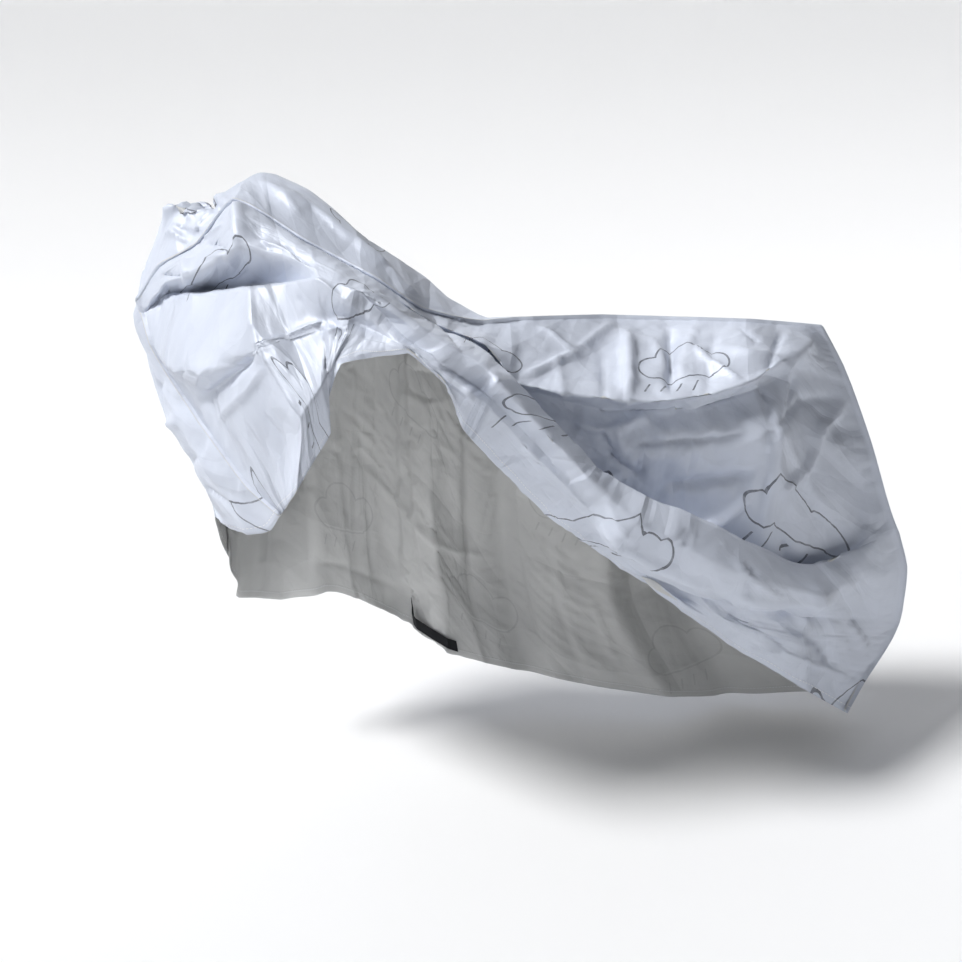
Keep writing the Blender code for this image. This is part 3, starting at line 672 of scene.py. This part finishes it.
CREST = (
    (0, -0.080, 0.080, 0.955),
    (0.5, -0.120, 0.130, 1.000),
    (1, -0.095, 0.190, 1.080),
    (1.5, -0.020, 0.170, 1.215),
    (2, 0.020, 0.150, 1.225),
    (2.5, 0.075, 0.110, 1.230),
    (3, 0.115, 0.070, 1.245),
    (4, 0.160, 0.030, 1.260),
    (5, 0.235, 0.000, 1.228),
    (7, 0.345, -0.030, 1.140),
    (9, 0.455, -0.050, 1.065),
    (10, 0.495, -0.060, 1.025),
    (11, 0.575, -0.030, 0.980),
    (12, 0.650, -0.010, 0.972),
    (14, 0.830, 0.005, 0.960),
    (17, 1.145, 0.005, 0.932),
    (18, 1.225, -0.010, 0.920),
    (19, 1.316, -0.060, 0.844),
)
SHOULDER = (
    (0, -0.040, 0.022, 0.880),
    (0.5, -0.087, 0.110, 0.886),
    (1, -0.108, 0.190, 0.925),
    (1.5, -0.060, 0.240, 1.060),
    (2, -0.020, 0.280, 1.060),
    (3, 0.080, 0.270, 1.030),
    (4, 0.160, 0.200, 1.030),
    (5, 0.240, 0.150, 1.000),
    (7, 0.360, 0.120, 0.930),
    (10, 0.520, 0.100, 0.860),
    (13, 0.740, 0.080, 0.870),
    (16, 1.030, 0.070, 0.850),
    (18, 1.260, 0.050, 0.840),
    (19, 1.380, -0.070, 0.683),
)
SIDE = (
    (0, 0.025, -0.065, 0.795),
    (0.5, -0.033, 0.020, 0.778),
    (1, -0.085, 0.160, 0.810),
    (1.5, -0.053, 0.250, 0.834),
    (2, -0.010, 0.260, 0.800),
    (3, 0.070, 0.250, 0.780),
    (5, 0.220, 0.170, 0.740),
    (7, 0.350, 0.150, 0.660),
    (10, 0.520, 0.150, 0.580),
    (13, 0.770, 0.140, 0.580),
    (16, 1.070, 0.120, 0.570),
    (18, 1.340, 0.070, 0.580),
    (19, 1.454, -0.080, 0.470),
)
LOW = (
    (0, 0.093, -0.154, 0.704),
    (0.5, 0.037, -0.050, 0.666),
    (1, -0.023, 0.120, 0.663),
    (1.5, -0.014, 0.220, 0.606),
    (2, 0.008, 0.250, 0.592),
    (3, 0.060, 0.210, 0.550),
    (5, 0.220, 0.180, 0.500),
    (7, 0.350, 0.180, 0.420),
    (10, 0.540, 0.180, 0.320),
    (13, 0.800, 0.150, 0.280),
    (16, 1.100, 0.120, 0.270),
    (18, 1.390, 0.070, 0.300),
    (19, 1.472, -0.080, 0.290),
)
FAR_HEM = (
    (0, 0.148, -0.227, 0.668),
    (0.3, 0.119, -0.120, 0.600),
    (0.6, 0.079, -0.050, 0.579),
    (1, 0.038, 0.040, 0.567),
    (1.4, 0.003, 0.110, 0.572),
    (2, -0.003, 0.140, 0.466),
    (2.5, 0.010, 0.130, 0.420),
    (3, 0.045, 0.150, 0.370),
    (4, 0.125, 0.170, 0.350),
    (5, 0.225, 0.170, 0.370),
    (7, 0.355, 0.160, 0.300),
    (9, 0.490, 0.140, 0.200),
    (11, 0.660, 0.120, 0.140),
    (13, 0.865, 0.090, 0.090),
    (15, 1.110, 0.070, 0.050),
    (17, 1.345, 0.050, 0.055),
    (18, 1.390, 0.010, 0.075),
    (19, 1.307, -0.180, 0.112),
)
# (fold, crispness)
FAR_FOLDS = (
    (SEAM, 0.0),
    (CREST, 0.2),
    (SHOULDER, 0.2),
    (SIDE, 0.0),
    (LOW, 0.0),
    (FAR_HEM, 0.0),
)
# Fine rows worked out between two folds, and the stations where its rows meet the near
# panel's: up to the first at the nose, and from the second back to the tail
FAR_FINE = 60
FRONT_END, TAIL_START = 1.5, 17.5

FAR_CREASES = (
    (1.3, 0.8, 2.2, 0.4, 0.021, 0.027),
    (1.3, 1.1, 2.3, 0.8, 0.016, -0.024),
    (2.2, 0.6, 2.7, 1.5, 0.018, -0.031),
    (1.7, 1.1, 1.4, 2.3, 0.025, 0.034),
    (4.0, 0.7, 8.0, 0.4, 0.023, 0.017),
    (3.0, 1.1, 10.5, 1.5, 0.046, 0.034),
    (2.3, 1.5, 2.5, 5.0, 0.052, -0.041),
    (3.6, 1.7, 3.3, 5.0, 0.046, 0.041),
    (5.2, 1.9, 4.8, 5.0, 0.046, -0.044),
    (7.0, 1.6, 7.3, 5.0, 0.057, 0.037),
    (9.2, 1.8, 8.9, 5.0, 0.052, -0.041),
    (11.6, 1.2, 11.2, 5.0, 0.057, 0.048),
    (13.6, 1.9, 13.9, 5.0, 0.052, -0.034),
    (16.0, 1.3, 15.3, 5.0, 0.057, 0.037),
    (17.7, 1.2, 17.4, 5.0, 0.052, -0.027),
)
FAR_PRESSED = (
    (2.2, 1, 2.6, 0.2, 0.008, -0.018),
    (1.5, 0.6, 2.2, 0.4, 0.007, -0.016),
    (1.3, 0.5, 1.8, 0.1, 0.007, 0.014),
    (1.7, 0.7, 2.1, 0.9, 0.007, 0.014),
    (2.6, 0.5, 2, 0.2, 0.008, 0.016),
    (1.5, 0.5, 2.3, 0.1, 0.006, 0.011),
    (1.9, 0.9, 1.7, 0.2, 0.007, -0.011),
    (2.8, 0.3, 2.2, 1, 0.007, 0.011),
    (3.9, 0.8, 5, 0.4, 0.010, 0.007),
    (4.9, 0.6, 6.2, 0.4, 0.009, -0.006),
    (7.5, 0.4, 8.9, 0.3, 0.009, 0.005),
    (0.3, 2, 0.9, 2.6, 0.010, -0.016),
    (0.4, 2.7, 1, 3.3, 0.010, 0.016),
    (0.5, 3.4, 1.1, 3.9, 0.009, -0.014),
    (1.4, 0.9, 2, 0.5, 0.008, -0.014),
    (2.2, 0.9, 2.8, 0.6, 0.007, 0.011),
    (0.4, 3.1, 0.5, 3.9, 0.010, 0.016),
    (1, 4.2, 0.4, 4.3, 0.010, -0.014),
    (0.7, 2.2, 0.9, 3, 0.006, -0.007),
    (0.6, 2.9, 0.7, 3.7, 0.006, -0.007),
    (1.2, 4.9, 0.4, 4.9, 0.006, 0.006),
    (6.5, 2.6, 6.9, 4.6, 0.010, 0.010),
    (9.1, 2.7, 9.1, 4.6, 0.010, -0.010),
    (4.5, 4.5, 8.2, 4.4, 0.008, 0.006),
    (11.7, 3.5, 11.6, 4.6, 0.010, 0.010),
    (13.4, 3.9, 13.3, 4.7, 0.010, -0.010),
    (6.4, 3.2, 11.1, 3.7, 0.009, -0.008),
    (10.4, 3.1, 10.1, 4.7, 0.008, 0.008),
)
FAR_LOOSE = (
    (1.9, 0.7, 1.0, 0.6, 0.45),
    (5.0, 0.6, 4.0, 1.2, -0.05),
    (8.0, 3.2, 9.0, 2.0, 0.10),
)


def length_shares(lines):
    """How far along its own length each point of each column lies, from 0 to 1."""
    step = np.linalg.norm(np.diff(lines, axis=0), axis=-1)
    reached = np.vstack((np.zeros_like(step[:1]), np.cumsum(step, axis=0)))
    return reached / reached[-1]


def far_film(near):
    """Places on the far panel, whose rows meet the near panel's at the nose and the tail."""
    rows = np.array([along_fold(fold, COLUMNS) for fold, _ in FAR_FOLDS])
    crisp = [fold[1] for fold in FAR_FOLDS]
    fine = down_folds(rows, crisp, [FAR_FINE] * (len(FAR_FOLDS) - 1))
    own = length_shares(fine)
    near_shares = length_shares(near[:, [0, -1]])
    front = 1 - eased(COLUMNS / FRONT_END)
    tail = eased((COLUMNS - TAIL_START) / (TAIL - TAIL_START))
    wanted = np.linspace(0, 1, len(near))[:, None]
    wanted = blend(wanted, near_shares[:, :1], front)
    wanted = blend(wanted, near_shares[:, 1:], tail)
    marks = np.arange(len(fine)) / FAR_FINE
    grid = np.empty_like(near)
    downs = np.empty(near.shape[:2])
    for j in range(len(COLUMNS)):
        downs[:, j] = np.interp(wanted[:, j], own[:, j], marks)
        for axis in range(3):
            grid[:, j, axis] = np.interp(wanted[:, j], own[:, j], fine[:, j, axis])
    return grid, downs


def edges_met(far, near):
    """The far film with its seamed edges on the near film's."""
    far[:, [0, -1]] = near[:, [0, -1]]
    far[0] = near[0]
    return far


far, far_downs = far_film(creased_near)
far = plain_far = creased(far, far_downs, FAR_CREASES, -1)
far = edges_met(faceted(far, far_downs, -1), faceted_near)
far = settled("far_settling", far, spare_film(far_downs, FAR_LOOSE))
far = edges_met(creased(far, far_downs, FAR_PRESSED, -1, sharp=True), near)

# Round the strap sewn in its hem the film keeps its broad folds alone
STRAP_AT, STRAP_DOWN, SEWN_LONG, SEWN_TALL, SEWN_FIRM = 8.1, 4.9, 0.9, 0.3, 1.5
sewn = ((COLUMNS - STRAP_AT) / SEWN_LONG) ** 2 + ((far_downs - STRAP_DOWN) / SEWN_TALL) ** 2
far = blend(far, plain_far, np.clip(SEWN_FIRM * np.exp(-sewn), 0, 1)[..., None])

# The film passes outside the strap, and lies clear of it
STRAP_CLEAR, STRAP_SPREAD, STRAP_PASSES = 0.004, 0.040, 2
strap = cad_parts["wind_strap"]
corners = np.array([strap.matrix_world @ vertex.co for vertex in strap.data.vertices]) + SEAT
middles = [corners[list(edge.vertices)].mean(axis=0) for edge in strap.data.edges]
for _ in range(STRAP_PASSES):
    outward = outward_of(far, -1)
    push = np.zeros(far.shape[:2])
    for place in np.concatenate((corners, middles)):
        away = np.linalg.norm(far - place, axis=-1)
        beside = np.unravel_index(away.argmin(), away.shape)
        needed = (place - far[beside]) @ outward[beside] + STRAP_CLEAR
        away = np.linalg.norm(far - far[beside], axis=-1)
        push = np.maximum(push, needed * np.exp(-(away / STRAP_SPREAD) ** 2))
    far = far + outward * push[..., None]


# ------------------------------------------------------------------------------
# Seam and film. The two panels are welded along the front, the top and the tail, in a narrow
# fin that stands out. Their film has a silver coat outside and a plain grey back, with grey
# line drawings printed on it and a stitched hem.

# Thickness of the film, height of the fin, and the gap between the fin's two layers
FILM, SEAM_FIN, SEAM_GAP = 0.0012, 0.007, 0.0003
# How many rows in from the edge the film's direction is taken, and how often it's evened out
EDGE_IN, EDGE_EASING = 4, 24


def edge_line(grid):
    """The seamed edges as one line: up the front, back along the top and down the tail."""
    return np.concatenate((grid[:0:-1, 0], grid[0], grid[1:, -1]))


def inward_line(grid):
    """The way in which the film leaves the seam, at each point of the edge line."""
    front = grid[:0:-1, EDGE_IN] - grid[:0:-1, 0]
    top = grid[EDGE_IN] - grid[0]
    tail = grid[1:, -1 - EDGE_IN] - grid[1:, -1]
    return unit(np.concatenate((front, top, tail)))


def eased_line(line):
    """Directions along the edge line, evened out from point to point."""
    for _ in range(EDGE_EASING):
        line[1:-1] = (line[:-2] + 2 * line[1:-1] + line[2:]) / 4
    return unit(line)


def seam_frame(near, far):
    """At each point of the seam, the way out along its welded fin and the way across it."""
    near_in, far_in = inward_line(near), inward_line(far)
    along = unit(np.gradient(edge_line(near), axis=0))
    faces_out = np.cross(near_in, along) - np.cross(far_in, along)
    out = eased_line(unit(faces_out) - near_in - far_in)
    out = unit(out - along * (out * along).sum(axis=-1, keepdims=True))
    return out, eased_line(np.cross(out, along))


def split_quads(points, quads):
    """Two triangles from each four-cornered cell, cut across its shorter diagonal."""
    a, b, c, d = np.moveaxis(points[quads], 1, 0)
    first = np.linalg.norm(a - c, axis=-1) <= np.linalg.norm(b - d, axis=-1)
    cut_ac = np.concatenate((quads[first][:, [0, 1, 2]], quads[first][:, [0, 2, 3]]))
    cut_bd = np.concatenate((quads[~first][:, [1, 2, 3]], quads[~first][:, [1, 3, 0]]))
    return np.concatenate((cut_ac, cut_bd))


def film_panel(name, grid, fin, across, side):
    """A closed thin sheet: coat outside, back inside, and its fin along the seam."""
    number, cells = cells_of(grid)
    base = edge_line(number)
    tip = number.size + np.arange(len(base))
    welded = np.stack((tip[:-1], base[:-1], base[1:], tip[1:]), -1)
    points = np.concatenate((grid.reshape(-1, 3), fin)) - SEAT
    faces = split_quads(points, np.concatenate((cells, welded)))
    if side < 0:
        faces = faces[:, ::-1]
    corner = points[faces]
    facing = np.cross(corner[:, 1] - corner[:, 0], corner[:, 2] - corner[:, 0])
    outward = np.zeros_like(points)
    for k in range(3):
        np.add.at(outward, faces[:, k], facing)
    outward = unit(outward)
    outward[tip] = -side * across
    count = len(points)
    ends = np.concatenate((faces[:, [0, 1]], faces[:, [1, 2]], faces[:, [2, 0]]))
    known = set((ends[:, 0] * count + ends[:, 1]).tolist())
    rim = np.array([(a, b) for a, b in ends.tolist() if b * count + a not in known])
    a, b = rim.T
    lower, upper = (b, a, a + count), (b, a + count, b + count)
    walls = np.concatenate((np.stack(lower, -1), np.stack(upper, -1)))
    shell = np.concatenate((faces, faces[:, ::-1] + count, walls))
    mesh = bpy.data.meshes.new(name)
    half = outward * FILM / 2
    mesh.from_pydata(np.vstack((points + half, points - half)).tolist(), [], shell.tolist())
    along, down = cut_places(grid)
    for layer, measured in (("cut", down), ("hem", down[-1] - down)):
        flat = np.stack((along, measured), -1).reshape(-1, 2)
        flat = np.concatenate((flat, flat[base]))
        uv = mesh.uv_layers.new(name=layer)
        uv.data.foreach_set("uv", flat[shell.ravel() % count].ravel())
    mesh.materials.append(silver_coat)
    mesh.materials.append(grey_back)
    sides = np.zeros(len(shell), dtype=np.int32)
    sides[len(faces):] = 1
    mesh.polygons.foreach_set("material_index", sides)
    mesh.polygons.foreach_set("use_smooth", np.ones(len(shell), dtype=bool))
    return placed(name, mesh)


def put(value, socket):
    """Feeds a socket from another node's output, or with a value of its own."""
    if isinstance(value, bpy.types.NodeSocket):
        socket.id_data.links.new(value, socket)
    else:
        socket.default_value = value


def added(tree, kind, **values):
    """A new node with its sockets fed. In their names "_" stands for a space."""
    node = tree.nodes.new("ShaderNode" + kind)
    for name, value in values.items():
        put(value, node.inputs[name.replace("_", " ")])
    return node


def parted(vector):
    """The x, y and z of a vector."""
    return added(vector.id_data, "SeparateXYZ", Vector=vector).outputs


def maths(operation, *terms):
    """A maths node on another node's output and, where it takes two, a number or output."""
    node = terms[0].id_data.nodes.new("ShaderNodeMath")
    node.operation = operation
    for place, term in enumerate(terms):
        put(term, node.inputs[place])
    return node.outputs["Value"]


# Printed motif: a cloud of three rounds on a flat base, with slanting raindrops under it, in
# dark lines. It repeats over the cut, each row set off from the one above.
PRINT_ALONG, PRINT_DOWN, PRINT_SHIFT = 0.47, 0.37, 0.58
PRINT_LINE = 0.0042
CLOUD = ((-0.067, 0.007, 0.035), (-0.014, -0.023, 0.051), (0.053, -0.002, 0.041))
CLOUD_BASE = (-0.007, 0.020, 0.064, 0.021)
DROP_SPACING, DROP_FROM, DROP_TO, DROP_HALF, DROP_SLANT = 0.034, 0.060, 0.086, 0.064, 0.45


def printed(place):
    """How much ink lies at each point: 1 on a line of the motif, 0 off it."""
    parts = parted(place)
    row = maths("DIVIDE", parts["Y"], PRINT_DOWN)
    whole = maths("FLOOR", row)
    y = maths("MULTIPLY", maths("SUBTRACT", row, maths("ADD", whole, 0.5)), PRINT_DOWN)
    column = maths("DIVIDE", parts["X"], PRINT_ALONG)
    column = maths("ADD", column, maths("MULTIPLY", whole, PRINT_SHIFT))
    x = maths("MULTIPLY", maths("SUBTRACT", maths("FRACT", column), 0.5), PRINT_ALONG)
    shape = None
    for centre_x, centre_y, radius in CLOUD:
        dx, dy = maths("SUBTRACT", x, centre_x), maths("SUBTRACT", y, centre_y)
        square = maths("ADD", maths("MULTIPLY", dx, dx), maths("MULTIPLY", dy, dy))
        away = maths("SUBTRACT", maths("SQRT", square), radius)
        shape = away if shape is None else maths("MINIMUM", shape, away)
    centre_x, centre_y, half_x, half_y = CLOUD_BASE
    over_x = maths("SUBTRACT", maths("ABSOLUTE", maths("SUBTRACT", x, centre_x)), half_x)
    over_y = maths("SUBTRACT", maths("ABSOLUTE", maths("SUBTRACT", y, centre_y)), half_y)
    shape = maths("MINIMUM", shape, maths("MAXIMUM", over_x, over_y))
    outline = maths("LESS_THAN", maths("ABSOLUTE", shape), PRINT_LINE / 2)
    slanted = maths("ADD", x, maths("MULTIPLY", y, DROP_SLANT))
    across = maths("SUBTRACT", maths("FRACT", maths("DIVIDE", slanted, DROP_SPACING)), 0.5)
    drop = maths("LESS_THAN", maths("ABSOLUTE", across), PRINT_LINE / 2 / DROP_SPACING)
    for limit in (
        maths("GREATER_THAN", y, DROP_FROM),
        maths("LESS_THAN", y, DROP_TO),
        maths("LESS_THAN", maths("ABSOLUTE", slanted), DROP_HALF),
    ):
        drop = maths("MULTIPLY", drop, limit)
    return maths("MAXIMUM", outline, drop)


# Flat facets left from packing: spacing, slope, turn, and how much longer than wide
FACET_SPACING, FACET_SLOPE, FACET_TURN, FACET_STRETCH = 0.150, 0.06, 0.5, 1.7


def facets(place):
    """Height of flat facets, which meet in straight ridges and valleys."""
    tree = place.id_data
    scale = (1 / FACET_SPACING / FACET_STRETCH, 1 / FACET_SPACING, 1)
    turned = added(tree, "Mapping", Vector=place, Rotation=(0, 0, FACET_TURN), Scale=scale)
    cell = added(tree, "TexVoronoi", Vector=turned.outputs["Vector"], Scale=1.0)
    cell.voronoi_dimensions = "2D"
    cell.feature = "DISTANCE_TO_EDGE"
    return maths("MULTIPLY", cell.outputs["Distance"], FACET_SLOPE * FACET_SPACING)


def packed(place, turn, spacing, start, slope):
    """Height of one set of packing folds: straight creases, with flat film tilted between."""
    rotation, location = (0, 0, math.radians(turn)), (start, 0, 0)
    turned = added(place.id_data, "Mapping", Vector=place, Rotation=rotation, Location=location)
    along = maths("DIVIDE", parted(turned.outputs["Vector"])["X"], 2 * spacing)
    ridge = maths("ABSOLUTE", maths("SUBTRACT", maths("FRACT", along), 0.5))
    return maths("MULTIPLY", ridge, 2 * spacing * slope)


# Packing folds: (turn in degrees, spacing, start, slope)
PACKED = (
    (0, 0.270, -0.159, 0.10),
    (90, 0.240, 0.0, 0.09),
    (33, 0.190, 0.05, 0.06),
    (-52, 0.145, 0.02, 0.06),
    (68, 0.083, 0.03, 0.035),
    (-17, 0.062, 0.01, 0.035),
)
# The hem is turned once and stitched, and the thread shows as small pale marks
HEM_TURN, HEM_STITCH, THREAD_WIDE, STITCH_LONG, STITCH_SHARE = 0.018, 0.015, 0.0016, 0.006, 0.6
TURN_THICK, THREAD_THICK, WRINKLE_TALL = 0.0006, 0.0004, 0.0012
THREAD_COLOUR, INK_COLOUR = (0.80, 0.81, 0.83, 1), (0.075, 0.08, 0.10, 1)
DULL_SHADE, BRIGHT_SHADE, RUBBED_INK = 0.94, 1.04, 0.55
SMOOTHER, ROUGHER = 0.05, 0.08


def film_finish(name, colour, roughness, metallic, ink):
    """Film with fine wrinkles, a print and a slightly uneven surface, placed by its flat cut."""
    material = bpy.data.materials.new(name)
    material.use_nodes = True
    tree = material.node_tree
    shader = tree.nodes["Principled BSDF"]
    shader.inputs["Metallic"].default_value = metallic
    cut = added(tree, "UVMap")
    cut.uv_map = "cut"
    place = cut.outputs["UV"]
    # uneven tone of the coat
    tone = added(tree, "TexNoise", Vector=place, Scale=7.0, Detail=5.0).outputs["Fac"]
    shades = added(tree, "ValToRGB", Fac=tone)
    dull, bright = shades.color_ramp.elements
    dull.position, bright.position = 0.35, 0.70
    dull.color = (*[c * DULL_SHADE for c in colour], 1)
    bright.color = (*[min(1, c * BRIGHT_SHADE) for c in colour], 1)
    # the print, thinner where it has rubbed
    rubbed = added(tree, "TexNoise", Vector=place, Scale=60.0, Detail=3.0).outputs["Fac"]
    faint = RUBBED_INK * ink
    hold = added(tree, "MapRange", Value=rubbed, From_Min=0.25, From_Max=0.55, To_Min=faint, To_Max=ink)
    share = maths("MULTIPLY", printed(place), hold.outputs["Result"])
    inked = added(tree, "MixRGB", Fac=share, Color1=shades.outputs["Color"], Color2=INK_COLOUR)
    # the hem's stitches
    hem = added(tree, "UVMap")
    hem.uv_map = "hem"
    along_hem, above_hem, _ = parted(hem.outputs["UV"])
    to_line = maths("ABSOLUTE", maths("SUBTRACT", above_hem, HEM_STITCH))
    on_line = maths("LESS_THAN", to_line, THREAD_WIDE / 2)
    along_line = maths("FRACT", maths("DIVIDE", along_hem, STITCH_LONG))
    stitch = maths("MULTIPLY", on_line, maths("LESS_THAN", along_line, STITCH_SHARE))
    film = inked.outputs["Color"]
    sewn = added(tree, "MixRGB", Fac=stitch, Color1=film, Color2=THREAD_COLOUR)
    put(sewn.outputs["Color"], shader.inputs["Base Color"])
    # duller where it has been handled
    least, most = roughness - SMOOTHER, roughness + ROUGHER
    wear = added(tree, "MapRange", Value=tone, To_Min=least, To_Max=most)
    put(wear.outputs["Result"], shader.inputs["Roughness"])
    # packing folds, flat facets and fine wrinkles between them, and the turned hem
    wrinkles = added(tree, "TexNoise", Vector=place, Scale=22.0, Detail=4.0, Distortion=0.8)
    on_turn = maths("LESS_THAN", above_hem, HEM_TURN)
    heights = [packed(place, *folds) for folds in PACKED]
    heights += [
        facets(place),
        maths("MULTIPLY", on_turn, TURN_THICK),
        maths("MULTIPLY", stitch, THREAD_THICK),
        maths("MULTIPLY", wrinkles.outputs["Fac"], WRINKLE_TALL),
    ]
    height = heights[0]
    for more in heights[1:]:
        height = maths("ADD", height, more)
    bump = added(tree, "Bump", Height=height, Strength=1.0, Distance=1.0)
    put(bump.outputs["Normal"], shader.inputs["Normal"])
    return material


silver_coat = film_finish("silver_coat", (0.61, 0.65, 0.74), 0.50, 0.10, 0.85)
grey_back = film_finish("grey_back", (0.62, 0.625, 0.62), 0.62, 0.0, 0.16)

out, across = seam_frame(near, far)
line = edge_line(far)
aside = across * (FILM + SEAM_GAP) / 2


def set_edge(grid, line):
    """Puts the panel's seamed edge on this line."""
    rows, columns = grid.shape[:2]
    grid[:0:-1, 0] = line[: rows - 1]
    grid[0] = line[rows - 1 : rows - 1 + columns]
    grid[1:, -1] = line[rows - 1 + columns :]


for name, node, grid, side in (
    ("near_film", "near_panel", near, 1),
    ("far_film", "far_panel", far, -1),
):
    edge = line - side * aside
    set_edge(grid, edge)
    piece = film_panel(name, grid, edge + out * SEAM_FIN, across, side)
    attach(piece, "root")
    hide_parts(node)


# ------------------------------------------------------------------------------
# Wind strap. A short length of black woven polypropylene tape, sewn inside the far hem at
# its front end. Its ribs run across it, and the weave shows as fine crossing lines.

TAPE_RIB, TAPE_WEFT, TAPE_RELIEF = 0.0016, 0.0011, 0.0004
# The wave texture repeats every 2 pi / 20 at a scale of 1
WAVE_PERIOD = 2 * math.pi / 20

tape = bpy.data.materials.new("black_tape")
tape.use_nodes = True
tape_tree = tape.node_tree
tape_shader = tape_tree.nodes["Principled BSDF"]
on_tape = added(tape_tree, "TexCoord").outputs["Object"]
weave = []
for pitch, way in ((TAPE_RIB, "X"), (TAPE_WEFT, "Z")):
    scale = WAVE_PERIOD / pitch
    yarn = added(tape_tree, "TexWave", Vector=on_tape, Scale=scale, Distortion=0.6)
    yarn.bands_direction = way
    weave.append(yarn.outputs["Fac"])
crossing = maths("MULTIPLY", *weave)
faded = added(tape_tree, "TexNoise", Vector=on_tape, Scale=40.0).outputs["Fac"]
yarn_shade = added(tape_tree, "ValToRGB", Fac=maths("MULTIPLY", crossing, faded))
yarn_shade.color_ramp.elements[0].color = (0.006, 0.007, 0.010, 1)
yarn_shade.color_ramp.elements[1].color = (0.026, 0.027, 0.034, 1)
put(yarn_shade.outputs["Color"], tape_shader.inputs["Base Color"])
tape_wear = added(tape_tree, "MapRange", Value=faded, To_Min=0.70, To_Max=0.88)
put(tape_wear.outputs["Result"], tape_shader.inputs["Roughness"])
tape_bump = added(tape_tree, "Bump", Height=crossing, Distance=TAPE_RELIEF)
put(tape_bump.outputs["Normal"], tape_shader.inputs["Normal"])
strap.data.materials.clear()
strap.data.materials.append(tape)

# ------------------------------------------------------------------------------
# Floor, light and camera. A pale floor that curves up into a wall, one broad light from
# the front left and above, and soft light all round.

FLOOR = -SEAT[2]
BACKDROP_NEAR, BACKDROP_AT, BACKDROP_BEND, BACKDROP_TOP, BACKDROP_HALF = -8.0, 3.5, 2.0, 6.0, 9.0
BEND_STEP = 6
bend = np.radians(np.arange(0, 91, BEND_STEP))
profile = [(BACKDROP_NEAR, FLOOR)]
profile += [
    (BACKDROP_AT + BACKDROP_BEND * math.sin(a), FLOOR + BACKDROP_BEND * (1 - math.cos(a)))
    for a in bend
]
profile += [(BACKDROP_AT + BACKDROP_BEND, BACKDROP_TOP)]
points = [(x, y, z) for y, z in profile for x in (-BACKDROP_HALF, BACKDROP_HALF)]
floor_mesh = bpy.data.meshes.new("floor")
strips = [(2 * k, 2 * k + 1, 2 * k + 3, 2 * k + 2) for k in range(len(profile) - 1)]
floor_mesh.from_pydata(points, [], strips)
floor_mesh.polygons.foreach_set("use_smooth", [True] * len(strips))
floor = placed("floor", floor_mesh)
pale = bpy.data.materials.new("pale_floor")
pale.use_nodes = True
pale_tree = pale.node_tree
pale_shader = pale_tree.nodes["Principled BSDF"]
pale_shader.inputs["Base Color"].default_value = (0.86, 0.86, 0.86, 1)
pale_shader.inputs["Roughness"].default_value = 0.9
# White emission for the wall's painted glow
pale_shader.inputs["Emission Color"].default_value = (1, 1, 1, 1)
# Painted light: the wall glows with its own white emission, none at the floor and more towards its top
GLOW_FROM, GLOW_TO, MOST_GLOW = FLOOR + 0.1, 1.2, 0.20
up_wall = parted(added(pale_tree, "TexCoord").outputs["Object"])["Z"]
painted_wall_glow = added(
    pale_tree, "MapRange", Value=up_wall, From_Min=GLOW_FROM, From_Max=GLOW_TO, To_Max=MOST_GLOW
)
put(painted_wall_glow.outputs["Result"], pale_shader.inputs["Emission Strength"])
floor_mesh.materials.append(pale)

# The sky is brighter on the side that the key light comes from
SKY_COLOUR, SKY_BRIGHT, SKY_DIM = (0.93, 0.95, 1.0, 1), 0.52, 0.08
world = bpy.data.worlds.new("studio")
bpy.context.scene.world = world
world.use_nodes = True
sky = world.node_tree
sky.nodes["Background"].inputs["Color"].default_value = SKY_COLOUR
from_side = parted(added(sky, "TexCoord").outputs["Generated"])["X"]
fall = added(
    sky, "MapRange", Value=from_side, From_Min=-1.0, To_Min=SKY_BRIGHT, To_Max=SKY_DIM
)
put(fall.outputs["Result"], sky.nodes["Background"].inputs["Strength"])

KEY_FROM, KEY_ENERGY, KEY_SOFT = Vector((-0.60, -0.12, 0.79)), 3.2, 16
key_light = bpy.data.lights.new("key", "SUN")
key_light.energy = KEY_ENERGY
key_light.angle = math.radians(KEY_SOFT)
key = placed("key", key_light)
key.rotation_euler = KEY_FROM.to_track_quat("Z", "Y").to_euler()

# The camera stands back from a point, turned and raised by these degrees, and tilts a little
CAMERA_ABOUT, CAMERA_BACK = Vector((-0.283, 0.12, -0.313)), 2.629
camera = bpy.data.cameras.new("camera")
camera.lens, camera.sensor_width = 47.14, 36
camera.shift_x, camera.shift_y = -0.0033, -0.0004
eye = placed("camera", camera)
azimuth, elevation, roll = np.radians((-8.807, 16.023, -1.842))
back = Vector((
    math.sin(azimuth) * math.cos(elevation),
    -math.cos(azimuth) * math.cos(elevation),
    math.sin(elevation),
))
level_right = (-back).cross(Vector((0, 0, 1))).normalized()
level_up = level_right.cross(-back)
right = level_right * math.cos(roll) + level_up * math.sin(roll)
up = level_up * math.cos(roll) - level_right * math.sin(roll)
place = CAMERA_ABOUT + back * CAMERA_BACK
eye.matrix_world = Matrix(((*right, 0), (*up, 0), (*back, 0), (*place, 1))).transposed()
bpy.context.scene.camera = eye
bpy.context.scene.view_settings.view_transform = "Standard"
